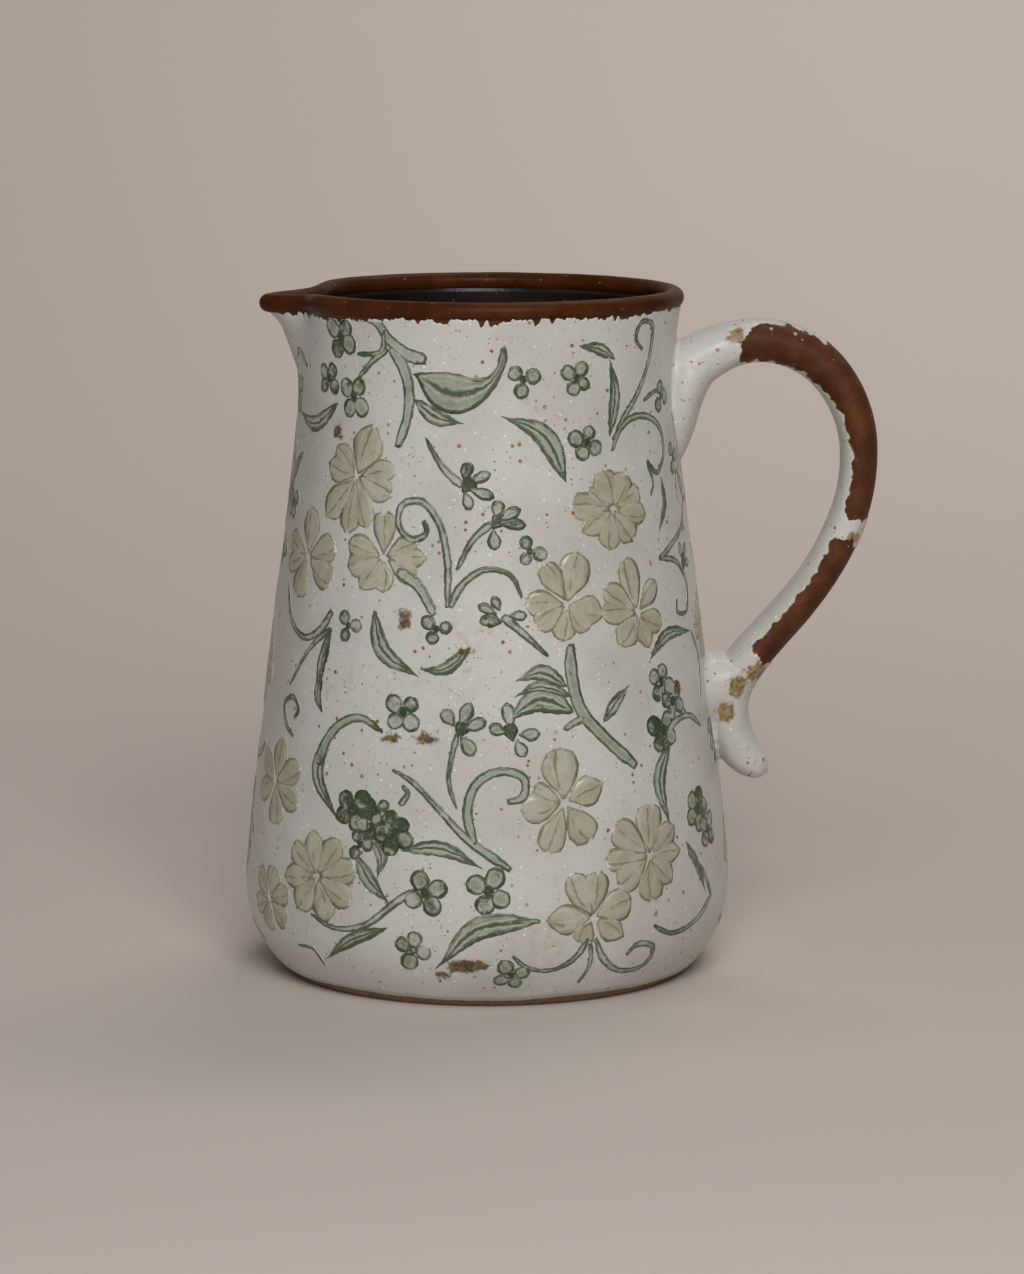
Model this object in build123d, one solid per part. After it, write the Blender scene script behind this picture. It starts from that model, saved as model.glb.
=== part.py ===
from build123d import *
import math
import os

# Floral stoneware pitcher: a tapered jug with a pulled spout, a rolled lip and a looped strap handle.
# Frame: millimetres, +Z up, origin on the axis of the body in the plane that it stands on.
# The spout points to -X and the handle to +X. Every piece is a closed solid of its own.

# Driving dimensions
HEIGHT = 230.0  # standing plane to the top of the lip
LIP_RADIUS = 3.1  # half the thickness of the rolled lip
WALL = 4.5  # clay wall
EDGE_WALL = 3.7  # the wall is pulled thinner towards the lip
FLOOR = 7.0  # clay floor above the recess
WHITE_COAT = 0.5  # white glaze on the outside
LINING_COAT = 0.4  # dark glaze on the inside
FOOT_WIDTH = 7.0  # width of the ring that it stands on
FOOT_RECESS = 2.2  # how far the floor is cut back inside that ring
HEEL = 11.0  # extra clay in the inside corner of wall and floor
HEEL_HEIGHT = 22.0  # height over which that corner is rounded
BASE_TOP = 33.0  # the heel, where the wall curves in to the floor, ends at its widest place
NECK_BOTTOM = 200.0  # the neck, which flares to the lip and carries the spout, starts here

# Outer clay profile: height above the standing plane, radius
PROFILE = [
    (0.0, 66.8),
    (1.5, 69.0),
    (4.5, 71.8),
    (9.0, 75.1),
    (16.0, 78.8),
    (24.0, 80.7),
    (33.0, 81.0),
    (45.0, 80.1),
    (60.0, 78.5),
    (80.0, 76.1),
    (105.0, 73.1),
    (130.0, 69.9),
    (155.0, 66.6),
    (178.0, 63.7),
    (192.0, 62.4),
    (203.0, 62.2),
    (211.0, 62.6),
    (217.5, 63.2),
    (222.0, 63.9),
    (225.0, 64.5),
]

# Spout: how far the lip is pulled out, how far it is pinched in beside that, and how far down both go
SPOUT_PULL = 18.4
SPOUT_PULL_ANGLE = 10.8
SPOUT_PINCH = 8.2
SPOUT_PINCH_ANGLE = 21.0
SPOUT_DEPTH = 10.0

# Handle: spine in the XZ plane, with half the strap's thickness and half its width at each point
HANDLE = [
    (57.0, 196.5, 9.4, 13.0),
    (65.0, 202.3, 9.2, 12.6),
    (72.5, 206.8, 8.6, 12.0),
    (81.0, 210.6, 7.7, 11.4),
    (91.0, 212.2, 7.3, 11.0),
    (101.5, 210.4, 7.3, 10.8),
    (111.8, 204.4, 7.2, 10.7),
    (119.6, 194.4, 6.9, 10.6),
    (124.0, 182.4, 6.6, 10.6),
    (124.7, 170.0, 6.4, 10.6),
    (122.9, 158.0, 6.4, 10.6),
    (118.6, 146.0, 6.5, 10.6),
    (112.3, 134.3, 6.5, 10.7),
    (104.2, 123.2, 6.6, 10.9),
    (95.8, 113.6, 6.7, 11.2),
    (88.2, 104.8, 7.0, 11.6),
    (82.9, 96.6, 7.2, 12.0),
    (80.9, 88.2, 7.1, 12.0),
    (82.4, 79.6, 6.9, 11.4),
    (86.3, 72.4, 6.1, 9.9),
    (90.6, 68.3, 4.6, 7.7),
    (93.6, 66.7, 2.9, 4.9),
    (95.2, 66.2, 0.9, 1.5),
]

# Clay thumbed down the wall under the upper root, and round the lower root, in the same form
UPPER_TONGUE = [
    (62.6, 172.5, 1.4, 4.0),
    (63.2, 178.0, 4.2, 8.5),
    (63.8, 185.0, 6.2, 12.0),
    (65.0, 192.0, 6.8, 13.8),
    (66.6, 198.5, 7.8, 14.0),
    (68.6, 204.0, 8.6, 13.2),
]
LOWER_COLLAR = [
    (72.0, 95.6, 16.0, 16.0),
    (76.5, 96.6, 12.6, 14.0),
    (80.5, 98.6, 9.6, 12.9),
    (83.5, 100.6, 8.1, 12.4),
]

LIP_CENTRE_Z = HEIGHT - LIP_RADIUS
LIP_INSET = 1.8  # the middle of the lip lies this far inside the outer face of the wall
WALL_TOP = PROFILE[-1][0]
FLOOR_TOP = FOOT_RECESS + FLOOR
BARE_BELOW = 3.0  # the white coat stops this far above the standing plane
GLAZE_TOP = WALL_TOP - 1.5  # both glazes stop here, under the lip
SECTION_POINTS = 40


def profile_radius(z):
    """Radius of the outer clay at a height, on a smooth curve through the profile's points."""
    points = PROFILE
    if z <= points[0][0]:
        return points[0][1]
    for i in range(len(points) - 1):
        low, high = points[i], points[i + 1]
        if z <= high[0]:
            break
    before = points[max(i - 1, 0)]
    after = points[min(i + 2, len(points) - 1)]
    span = high[0] - low[0]
    slope_low = (high[1] - before[1]) / (high[0] - before[0])
    slope_high = (after[1] - low[1]) / (after[0] - low[0])
    t = (z - low[0]) / span
    return (
        low[1] * (1 + 2 * t) * (1 - t) ** 2
        + slope_low * span * t * (1 - t) ** 2
        + high[1] * t**2 * (3 - 2 * t)
        - slope_high * span * t**2 * (1 - t)
    )


def spout_share(z):
    """How much of the spout's shape a level has: 1 at the top of the wall, falling to nothing below."""
    down = max(WALL_TOP - z, 0.0)
    return math.exp(-((down / SPOUT_DEPTH) ** 1.3))


def bump(degrees, width):
    return math.exp(-((degrees / width) ** 2))


def spout_angle(turn):
    """Degrees from the spout, 0 to 180, of a direction given as a share of a whole turn."""
    return abs(turn * 360.0 - 180.0)


def wall_point(turn, z, inset):
    """A point of the wall, inset along the wall's own normal in plan, so the thickness holds at the spout."""

    def plan(at):
        away = spout_angle(at % 1.0)
        shape = SPOUT_PULL * bump(away, SPOUT_PULL_ANGLE) - SPOUT_PINCH * bump(away, SPOUT_PINCH_ANGLE)
        radius = profile_radius(z) + spout_share(z) * shape
        return Vector(radius * math.cos(at * math.tau), radius * math.sin(at * math.tau))

    step = 1e-4
    along = (plan(turn + step) - plan(turn - step)).normalized()
    inward = Vector(-along.Y, along.X)
    point = plan(turn) + inward * inset
    return (point.X, point.Y, z)


def section_turns():
    """Places round a section, closer together near the spout, where the plan turns quickly."""
    even = [i / SECTION_POINTS for i in range(SECTION_POINTS)]
    return [t + 0.068 * math.sin(math.tau * t) for t in even]


def clay_thickness(turn, z):
    """The wall, thinner towards the lip and thicker where it runs into the floor."""
    thin = (WALL - EDGE_WALL) * spout_share(z)
    up = max(z, FLOOR_TOP) - FLOOR_TOP
    heel = HEEL * max(1 - up / HEEL_HEIGHT, 0.0) ** 2
    return WALL - thin + heel


def lining_depth(turn, z):
    return clay_thickness(turn, z) + LINING_COAT


def form(inset):
    """Filled solid of the wall's outer form at full height, inset by a function of turn and height."""
    sections = []
    for z, _ in PROFILE:
        points = [wall_point(turn, z, inset(turn, z)) for turn in section_turns()]
        sections.append(Wire(Spline(*points, periodic=True)))
    return Solid.make_loft(sections)


def slab(bottom, top):
    """Everything between two heights, wider than the pitcher."""
    return Pos(0, 0, (bottom + top) / 2) * Box(400, 400, top - bottom)


def strap(rows, extra=0.0):
    """Solid through elliptical sections square to a spine in the XZ plane."""
    spine = Spline(*[(x, 0, z) for x, z, thick, wide in rows])
    sections = []
    for x, z, thick, wide in rows:
        along = spine.tangent_at(spine.param_at_point((x, 0, z)))
        plane = Plane(origin=(x, 0, z), x_dir=(0, 1, 0), z_dir=along)
        sections.append((plane * Ellipse(wide + extra, thick + extra)).wire())
    return Solid.make_loft(sections)


def make_clay(outer, hollow):
    """Wall, floor and foot, with the spout pulled from the edge of the wall."""
    recess = Pos(0, 0, FOOT_RECESS / 2) * Cylinder(PROFILE[0][1] - FOOT_WIDTH, FOOT_RECESS)
    return outer - hollow - recess


def largest(shape):
    """The biggest solid of a cut, without the crumbs that a shallow cut can leave."""
    return max(shape.solids(), key=lambda solid: solid.volume)


def make_lip():
    """Rolled clay lip: a round bead, flat where it sits on the top of the wall, that follows the spout."""
    seat = -math.degrees(math.asin((LIP_CENTRE_Z - WALL_TOP) / LIP_RADIUS))

    def side(outward):
        sections = []
        for angle in (seat, -20, 0, 20, 40, 58, 72, 84):
            reach = LIP_RADIUS * math.cos(math.radians(angle))
            z = LIP_CENTRE_Z + LIP_RADIUS * math.sin(math.radians(angle))
            plan = [wall_point(turn, WALL_TOP, LIP_INSET - outward * reach) for turn in section_turns()]
            sections.append(Wire(Spline(*[(x, y, z) for x, y, top in plan], periodic=True)))
        return Solid.make_loft(sections)

    return side(1) - side(-1)


def main():
    os.makedirs("parts", exist_ok=True)
    outer = form(lambda turn, z: 0.0)
    hollow = form(clay_thickness) & slab(FLOOR_TOP, HEIGHT)
    clay = make_clay(outer, hollow)
    floor = clay & slab(-1, FLOOR_TOP)
    heel = clay & slab(FLOOR_TOP, BASE_TOP)
    wall = clay & slab(BASE_TOP, NECK_BOTTOM)
    neck = clay & slab(NECK_BOTTOM, HEIGHT)
    lip = make_lip()
    lining = (hollow & slab(FLOOR_TOP, GLAZE_TOP)) - (form(lining_depth) & slab(FLOOR_TOP + LINING_COAT, HEIGHT))

    handle = largest(strap(HANDLE) - outer)
    tongue = largest(strap(UPPER_TONGUE) - outer - handle)
    collar = largest(strap(LOWER_COLLAR) - outer - handle)

    coated = form(lambda turn, z: -WHITE_COAT) & slab(BARE_BELOW, GLAZE_TOP)
    white = coated - outer - handle - tongue - collar
    handle_white = strap(HANDLE, WHITE_COAT) - handle - coated - outer - tongue - collar

    pieces = {
        "clay_floor": floor,
        "clay_heel": heel,
        "clay_wall": wall,
        "clay_neck": neck,
        "rolled_lip": lip,
        "dark_lining_glaze": lining,
        "white_body_glaze": white,
        "strap_handle": handle,
        "upper_root_tongue": tongue,
        "lower_root_collar": collar,
        "white_handle_glaze": handle_white,
    }
    for name, piece in pieces.items():
        export_step(largest(piece), f"parts/{name}.step")


main()
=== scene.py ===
import math

import bpy
import numpy as np
from bpy.props import FloatProperty, FloatVectorProperty, IntProperty, PointerProperty
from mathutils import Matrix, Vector


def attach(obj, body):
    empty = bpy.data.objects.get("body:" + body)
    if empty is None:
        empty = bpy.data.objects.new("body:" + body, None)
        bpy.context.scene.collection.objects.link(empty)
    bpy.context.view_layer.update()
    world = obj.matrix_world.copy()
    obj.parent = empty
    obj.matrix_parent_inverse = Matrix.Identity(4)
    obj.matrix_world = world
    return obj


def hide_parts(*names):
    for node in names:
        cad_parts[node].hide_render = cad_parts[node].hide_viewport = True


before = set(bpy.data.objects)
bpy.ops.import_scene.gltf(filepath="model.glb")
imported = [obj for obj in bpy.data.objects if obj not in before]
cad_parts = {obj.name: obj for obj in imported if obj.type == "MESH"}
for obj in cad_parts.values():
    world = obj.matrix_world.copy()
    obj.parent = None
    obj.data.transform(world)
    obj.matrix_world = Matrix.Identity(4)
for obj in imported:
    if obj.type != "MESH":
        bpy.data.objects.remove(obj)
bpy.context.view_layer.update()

bl_info = {
    "name": "Painted Stoneware Pitcher",
    "version": (1, 0, 0),
    "blender": (4, 5, 0),
    "location": "View3D > Sidebar > Pitcher",
    "description": "Glazes, paints and lights a stoneware pitcher with a strap handle",
    "category": "Object",
}

MM = 0.001

# Sizes in millimetres and directions in degrees, the same as the solid's. Directions are counted from the
# front, positive towards the handle.
HEIGHT = 230.0
WALL_TOP = 225.0
LIP_RADIUS = 3.1
LIP_INSET = 1.8
WHITE_COAT = 0.5
BARE_BELOW = 3.0
SPOUT_SIDE = -90.0
SPOUT_PULL, SPOUT_PULL_ANGLE = 18.4, 10.8
SPOUT_PINCH, SPOUT_PINCH_ANGLE = 8.2, 21.0
SPOUT_DEPTH = 10.0

# Clay profile: height, radius
PROFILE = np.array([
    (0, 66.8), (1.5, 69), (4.5, 71.8), (9, 75.1), (16, 78.8), (24, 80.7), (33, 81),
    (45, 80.1), (60, 78.5), (80, 76.1), (105, 73.1), (130, 69.9), (155, 66.6),
    (178, 63.7), (192, 62.4), (203, 62.2), (211, 62.6), (217.5, 63.2), (222, 63.9),
    (WALL_TOP, 64.5),
])

# Handle: spine in the XZ plane, half the strap's thickness and half its width. The roots have the same form.
HANDLE = np.array([
    (57, 196.5, 9.4, 13), (65, 202.3, 9.2, 12.6), (72.5, 206.8, 8.6, 12), (81, 210.6, 7.7, 11.4),
    (91, 212.2, 7.3, 11), (101.5, 210.4, 7.3, 10.8), (111.8, 204.4, 7.2, 10.7), (119.6, 194.4, 6.9, 10.6),
    (124, 182.4, 6.6, 10.6), (124.7, 170, 6.4, 10.6), (122.9, 158, 6.4, 10.6), (118.6, 146, 6.5, 10.6),
    (112.3, 134.3, 6.5, 10.7), (104.2, 123.2, 6.6, 10.9), (95.8, 113.6, 6.7, 11.2), (88.2, 104.8, 7, 11.6),
    (82.9, 96.6, 7.2, 12), (80.9, 88.2, 7.3, 12), (82.2, 80, 7.4, 11.4), (85.8, 73.2, 6.8, 10.2),
    (90, 69.2, 5.7, 8.4), (93.2, 67.6, 4.1, 5.8), (95.3, 67.2, 1.4, 2),
])
UPPER_ROOT = np.array([
    (62.6, 170, 1.4, 5), (63.2, 178, 4.6, 9.5), (63.8, 185, 6.4, 12.6),
    (65, 192, 7, 14.2), (66.6, 198.5, 8, 14.6), (68.6, 204, 8.8, 13.6),
])
LOWER_ROOT = np.array([
    (72, 95.6, 16, 16), (76.5, 96.6, 12.6, 14.4), (80.5, 98.6, 9.6, 13.2), (83.5, 100.6, 8.1, 12.6),
])


# ---------------------------------------------------------------- the wall's shape

def hermite(t, low, high, low_slope, high_slope):
    """Smooth curve from low to high as t goes from 0 to 1; the slopes are over that whole span."""
    return (
        low * (1 + 2 * t) * (1 - t) ** 2 + low_slope * t * (1 - t) ** 2
        + high * t**2 * (3 - 2 * t) - high_slope * t**2 * (1 - t)
    )


def profile_radius(z):
    """Radius of the clay at heights z, on a smooth curve through the profile."""
    z = np.clip(np.asarray(z, float), 0.0, WALL_TOP)
    heights, radii = PROFILE[:, 0], PROFILE[:, 1]
    i = np.clip(np.searchsorted(heights, z) - 1, 0, len(heights) - 2)
    before, after = np.maximum(i - 1, 0), np.minimum(i + 2, len(heights) - 1)
    span = heights[i + 1] - heights[i]
    low_slope = (radii[i + 1] - radii[before]) / (heights[i + 1] - heights[before]) * span
    high_slope = (radii[after] - radii[i]) / (heights[after] - heights[i]) * span
    return hermite((z - heights[i]) / span, radii[i], radii[i + 1], low_slope, high_slope)


def degrees_from(turn, centre):
    """Signed degrees from a direction, between -180 and 180."""
    return (turn - centre + 180.0) % 360.0 - 180.0


def spout_pull(turn, z):
    """How far the spout moves the wall outwards."""
    away = np.abs(degrees_from(turn, SPOUT_SIDE))
    share = np.exp(-(np.maximum(WALL_TOP - z, 0.0) / SPOUT_DEPTH) ** 1.3)
    pull = SPOUT_PULL * np.exp(-(away / SPOUT_PULL_ANGLE) ** 2)
    return share * (pull - SPOUT_PINCH * np.exp(-(away / SPOUT_PINCH_ANGLE) ** 2))


def unevenness(turn, z):
    """Gentle waves that a hand leaves in the wall, a fraction of a millimetre."""
    a = np.radians(turn)
    fade = np.clip((218.0 - z) / 30.0, 0.0, 1.0)
    waves = (
        0.10 * np.sin(3 * a + z * 0.031 + 0.6) + 0.07 * np.sin(7 * a - z * 0.083 + 2.1)
        + 0.06 * np.sin(z * 0.21 + 1.3 * np.sin(2 * a)) + 0.05 * np.sin(11 * a + z * 0.12 + 4.0)
    )
    return waves * fade


def wall_point(turn, z, out=0.0, uneven=1.0):
    """Point of the clay wall, pushed outwards in plan by out."""
    turn, z = np.broadcast_arrays(np.asarray(turn, float), np.asarray(z, float))
    radius = profile_radius(z) + spout_pull(turn, z) + out + uneven * unevenness(turn, z)
    a = np.radians(turn)
    return np.stack([radius * np.sin(a), -radius * np.cos(a), z], axis=-1)


def coat_point(turn, z, lift=0.0):
    """Point over the white coat, lifted along the coat's own normal."""
    at = wall_point(turn, z, WHITE_COAT)
    step = 0.05
    round_way = wall_point(turn + step, z, WHITE_COAT) - wall_point(turn - step, z, WHITE_COAT)
    up_way = wall_point(turn, z + step, WHITE_COAT) - wall_point(turn, z - step, WHITE_COAT)
    normal = np.cross(round_way, up_way)
    normal /= np.linalg.norm(normal, axis=-1, keepdims=True)
    return at + normal * np.asarray(lift, float)[..., None]


def lengths_along(points):
    """Distance of each point from the first, along the line through them."""
    return np.concatenate([[0.0], np.cumsum(np.hypot(*np.diff(points, axis=0).T))])


# Distance up the wall's face for each height
CLIMB_Z = np.linspace(0.0, 226.0, 2261)
CLIMB = lengths_along(np.stack([CLIMB_Z, profile_radius(CLIMB_Z)], -1))


def ripple(values, seed, count):
    """Smooth noise along a line, from -1 to 1, as a few sines with seeded phases."""
    draw = np.random.default_rng(seed)
    total = np.zeros_like(values)
    for k in range(count):
        total += np.sin(values * 1.7**k + draw.uniform(0, math.tau)) / 1.45**k
    return total / 2.2


# ---------------------------------------------------------------- meshes

def set_values(mesh, values):
    """Gives a mesh float attributes, one number for each point."""
    for key, numbers in values.items():
        made = mesh.attributes.new(key, "FLOAT", "POINT")
        made.data.foreach_set("value", np.asarray(numbers, np.float32))


def make_piece(name, points, faces, material, replaced, values, smooth=None):
    """A mesh object from points in millimetres, with float attributes, riding on the pitcher."""
    mesh = bpy.data.meshes.new(name)
    mesh.from_pydata((np.asarray(points) * MM).tolist(), [], faces)
    mesh.update()
    set_values(mesh, values)
    return adopt(name, mesh, material, replaced, smooth)


def adopt(name, mesh, material, replaced=(), smooth=None):
    """Turns a finished mesh into a piece of the pitcher."""
    mesh.materials.clear()
    mesh.materials.append(material)
    mesh.polygons.foreach_set("use_smooth", [True] * len(mesh.polygons) if smooth is None else smooth)
    piece = bpy.data.objects.new(name, mesh)
    bpy.context.scene.collection.objects.link(piece)
    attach(piece, "root")
    if replaced:
        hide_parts(*replaced)
    return piece


def grid_faces(rows, columns, closed):
    """Quads of a grid of points stored row by row; columns go round when closed."""
    last = columns if closed else columns - 1
    r, c = np.meshgrid(np.arange(rows - 1), np.arange(last), indexing="ij")
    nxt = (c + 1) % columns
    below, above = r * columns, (r + 1) * columns
    return np.stack([below + c, below + nxt, above + nxt, above + c], -1).reshape(-1, 4).tolist()


def grid_border(rows, columns):
    """The points round the edge of a grid, in order."""
    border = list(range(columns)) + [r * columns + columns - 1 for r in range(1, rows)]
    border += [(rows - 1) * columns + c for c in range(columns - 2, -1, -1)]
    return border + [r * columns for r in range(rows - 2, 0, -1)]


def slab_faces(rows, columns):
    """Closed faces of two grids, an upper one stored before a lower one."""
    count = rows * columns
    upper = grid_faces(rows, columns, False)
    lower = [[i + count for i in face[::-1]] for face in upper]
    border = grid_border(rows, columns)
    sides = [[here + count, there + count, there, here] for here, there in zip(border, border[1:] + border[:1])]
    return upper + lower + sides


def shifted(faces, first):
    """The same faces for points that are stored from first on."""
    return [[i + first for i in face] for face in faces]


def sweep_points(rows, steps, sides, power=2.0):
    """Rings of a strap along a spine in the XZ plane, the spine's rows, and the distance of each along it."""
    knots = lengths_along(rows[:, :2])
    at = np.linspace(0.0, knots[-1], steps)
    line = np.stack([cubic(knots, rows[:, k], at) for k in range(4)], -1)
    along = unit_slopes(line[:, :2])
    outward = np.stack([along[:, 1], -along[:, 0]], -1)
    a = np.linspace(0.0, math.tau, sides, endpoint=False)
    reach = np.sign(np.cos(a)) * np.abs(np.cos(a)) ** (2 / power)
    aside = np.sign(np.sin(a)) * np.abs(np.sin(a)) ** (2 / power)
    x = line[:, 0:1] - outward[:, 0:1] * line[:, 2:3] * reach
    z = line[:, 1:2] - outward[:, 1:2] * line[:, 2:3] * reach
    return np.stack([x, line[:, 3:4] * aside, z], -1), line, at


def unit_slopes(line):
    """Unit direction of a flat line at each of its points."""
    along = np.gradient(line, axis=0)
    return along / np.linalg.norm(along, axis=1, keepdims=True)


def cubic(knots, values, at):
    """Catmull-Rom curve through values at knots."""
    slopes = np.gradient(values, knots)
    i = np.clip(np.searchsorted(knots, at) - 1, 0, len(knots) - 2)
    span = knots[i + 1] - knots[i]
    return hermite((at - knots[i]) / span, values[i], values[i + 1], slopes[i] * span, slopes[i + 1] * span)


def strap_mesh(rows, steps, sides, power):
    """Points and faces of a closed strap."""
    points = sweep_points(rows, steps, sides, power)[0].reshape(-1, 3)
    faces = grid_faces(steps, sides, True)
    faces.append(list(range(sides))[::-1])
    faces.append(list(range((steps - 1) * sides, steps * sides)))
    return points, faces


# ---------------------------------------------------------------- nodes

def add_node(tree, kind, settings, inputs):
    """A node with its settings made first, then its sockets set or linked."""
    made = tree.nodes.new(kind)
    for key, setting in (settings or {}).items():
        setattr(made, key, setting)
    for key, given in (inputs or {}).items():
        given = getattr(given, "socket", given)
        if isinstance(given, bpy.types.NodeSocket):
            tree.links.new(given, made.inputs[key])
        else:
            made.inputs[key].default_value = given
    return made


class Value:
    """A node's output that can be used in an expression; each sign adds its Math node."""

    def __init__(self, shade, socket):
        self.shade = shade
        self.socket = socket

    def maths(self, operation, other, swapped=False):
        pair = (other, self) if swapped else (self, other)
        return self.shade.node("ShaderNodeMath", {"operation": operation}, {0: pair[0], 1: pair[1]})

    def __add__(self, other):
        return self.maths("ADD", other)

    def __sub__(self, other):
        return self.maths("SUBTRACT", other)

    def __rsub__(self, other):
        return self.maths("SUBTRACT", other, True)

    def __mul__(self, other):
        return self.maths("MULTIPLY", other)

    def __truediv__(self, other):
        return self.maths("DIVIDE", other)

    def __abs__(self):
        return self.maths("ABSOLUTE", 0.0)

    __radd__ = __add__
    __rmul__ = __mul__


class Shade:
    """One material under construction."""

    def __init__(self, name):
        self.material = bpy.data.materials.new(name)
        self.material.use_nodes = True
        self.tree = self.material.node_tree
        self.tree.nodes.clear()

    def node(self, kind, settings=None, inputs=None, output=0):
        """A new node, and its output to go on with."""
        return Value(self, add_node(self.tree, kind, settings, inputs).outputs[output])

    def place(self):
        """The piece's own coordinates, in metres."""
        return self.node("ShaderNodeTexCoord", output="Object")

    def grain_line(self, across, along):
        """Coordinates that stretch a noise into streaks along a petal."""
        lined = {0: across * 1.3, 1: along * 0.22, 2: self.attribute("tone") * 9.0}
        return self.node("ShaderNodeCombineXYZ", None, lined)

    def attribute(self, name):
        """A number that the mesh carries at each point."""
        return self.node("ShaderNodeAttribute", {"attribute_name": name}, output="Fac")

    def noise(self, scale, detail=2.0, roughness=0.5, warp=0.0, at=None):
        """Cloudy numbers round 0.5; scale is how many clouds there are to a metre."""
        inputs = {"Vector": at or self.place(), "Scale": scale, "Detail": detail, "Roughness": roughness,
                  "Distortion": warp}
        return self.node("ShaderNodeTexNoise", None, inputs, "Fac")

    def blotches(self, scale, detail, roughness, low, high, most=1.0):
        """Noise as soft-edged patches: nothing below low, and most above high."""
        return self.ramp(self.noise(scale, detail, roughness), low, high, 0.0, most)

    def ramp(self, given, low, high, start=0.0, end=1.0):
        """Eases from start to end as a number goes from low to high."""
        inputs = {"Value": given, "From Min": low, "From Max": high, "To Min": start, "To Max": end}
        return self.node("ShaderNodeMapRange", {"interpolation_type": "SMOOTHSTEP"}, inputs)

    def mix(self, share, first, second):
        """First colour where share is 0, second where it is 1."""
        first = first if isinstance(first, Value) else (*first, 1.0)
        second = second if isinstance(second, Value) else (*second, 1.0)
        return self.node("ShaderNodeMix", {"data_type": "RGBA"},
                         {0: share, 6: first, 7: second}, 2)

    def near(self, value, inner, outer):
        """1 where a value is within inner of nothing, falling to 0 at outer."""
        return self.ramp(abs(value), inner, outer, 1.0, 0.0)

    def dots(self, scale, share, smallest, largest):
        """Scattered round specks: mask, and a random number for each speck."""
        cells = {"Vector": self.place(), "Scale": scale}
        away = self.node("ShaderNodeTexVoronoi", None, cells, "Distance")
        colour = self.node("ShaderNodeTexVoronoi", None, cells, "Color")
        red = self.node("ShaderNodeSeparateColor", None, {0: colour}, 0)
        green = self.node("ShaderNodeSeparateColor", None, {0: colour}, 1)
        size = green * green * (largest - smallest) + smallest
        inside = self.ramp(away / size, 1.0, 0.55)
        return inside * self.ramp(red, 1.0 - share, 1.0 - share + 0.02), green

    def bump(self, height, strength, distance=0.0004):
        """Relief from heights."""
        inputs = {"Height": height, "Strength": strength, "Distance": distance}
        return self.node("ShaderNodeBump", None, inputs)

    def finish(self, colour, roughness, normal=None, specular=0.5):
        """Ends the material and returns it."""
        inputs = {"Base Color": colour, "Roughness": roughness, "Specular IOR Level": specular}
        if normal is not None:
            inputs["Normal"] = normal
        surface = self.node("ShaderNodeBsdfPrincipled", None, inputs)
        add_node(self.tree, "ShaderNodeOutputMaterial", None, {"Surface": surface})
        return self.material


# ---------------------------------------------------------------- glazes and paint

# White glaze and what breaks its colour
WHITE = (0.62, 0.618, 0.585)
WHITE_WARM = (0.54, 0.528, 0.485)
WHITE_COOL = (0.56, 0.563, 0.535)
GRAIN = (0.42, 0.40, 0.36)
STAIN = (0.43, 0.30, 0.21)
# pale flecks in the glaze, made brighter so that they also serve as painted glints (painted highlight)
CHALK_AND_GLINT = (0.92, 0.91, 0.89)
RUST = (0.24, 0.085, 0.03)
UMBER = (0.055, 0.034, 0.018)
OLIVE_SPECK = (0.13, 0.12, 0.07)
RUST_SPECK = (0.24, 0.11, 0.05)
OCHRE = (0.25, 0.155, 0.055)

# Brown smudges: their bloom and the darker core, on the wall and on the handle
WALL_SMUDGE = (0.185, 0.105, 0.030), (0.040, 0.026, 0.012)
HANDLE_SMUDGE = (0.34, 0.23, 0.10), (0.16, 0.095, 0.035)

# Paints: thin wash, pooled paint, outline
SAGE = (0.46, 0.455, 0.34), (0.34, 0.325, 0.215), (0.19, 0.17, 0.095)
BERRY_GREEN = (0.31, 0.34, 0.265), (0.15, 0.19, 0.12), (0.032, 0.056, 0.022)
LEAF_GREEN = (0.34, 0.365, 0.30), (0.19, 0.225, 0.155), (0.034, 0.062, 0.023)
STEM_GREEN = (0.33, 0.36, 0.29), (0.19, 0.225, 0.155), (0.040, 0.070, 0.027)
LEAF_VEIN = (0.050, 0.080, 0.033)

# Brown glazes: body, where it breaks thin, and the dark mottle; the neck's third colour is its inner face under
# the lip, dark glaze darkened further as painted shade inside the mouth
LIP_BROWN = (0.052, 0.0135, 0.003), (0.086, 0.024, 0.006), (0.028, 0.012, 0.006)
HANDLE_BROWN = (0.066, 0.0155, 0.003), (0.118, 0.036, 0.008), (0.035, 0.014, 0.006)
NECK_BROWN_AND_SHADE = (0.065, 0.019, 0.006), (0.11, 0.035, 0.011), (0.016, 0.009, 0.006)
# lining: the dark liner glaze inside, its body colours darkened further as painted shade for the inside of the
# vessel, then the pale specks
LINING_AND_SHADE = (0.007, 0.0045, 0.0035), (0.014, 0.009, 0.006), (0.13, 0.085, 0.05)
BARE_CLAY = (0.20, 0.115, 0.06), (0.30, 0.20, 0.12), (0.09, 0.055, 0.03)


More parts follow.
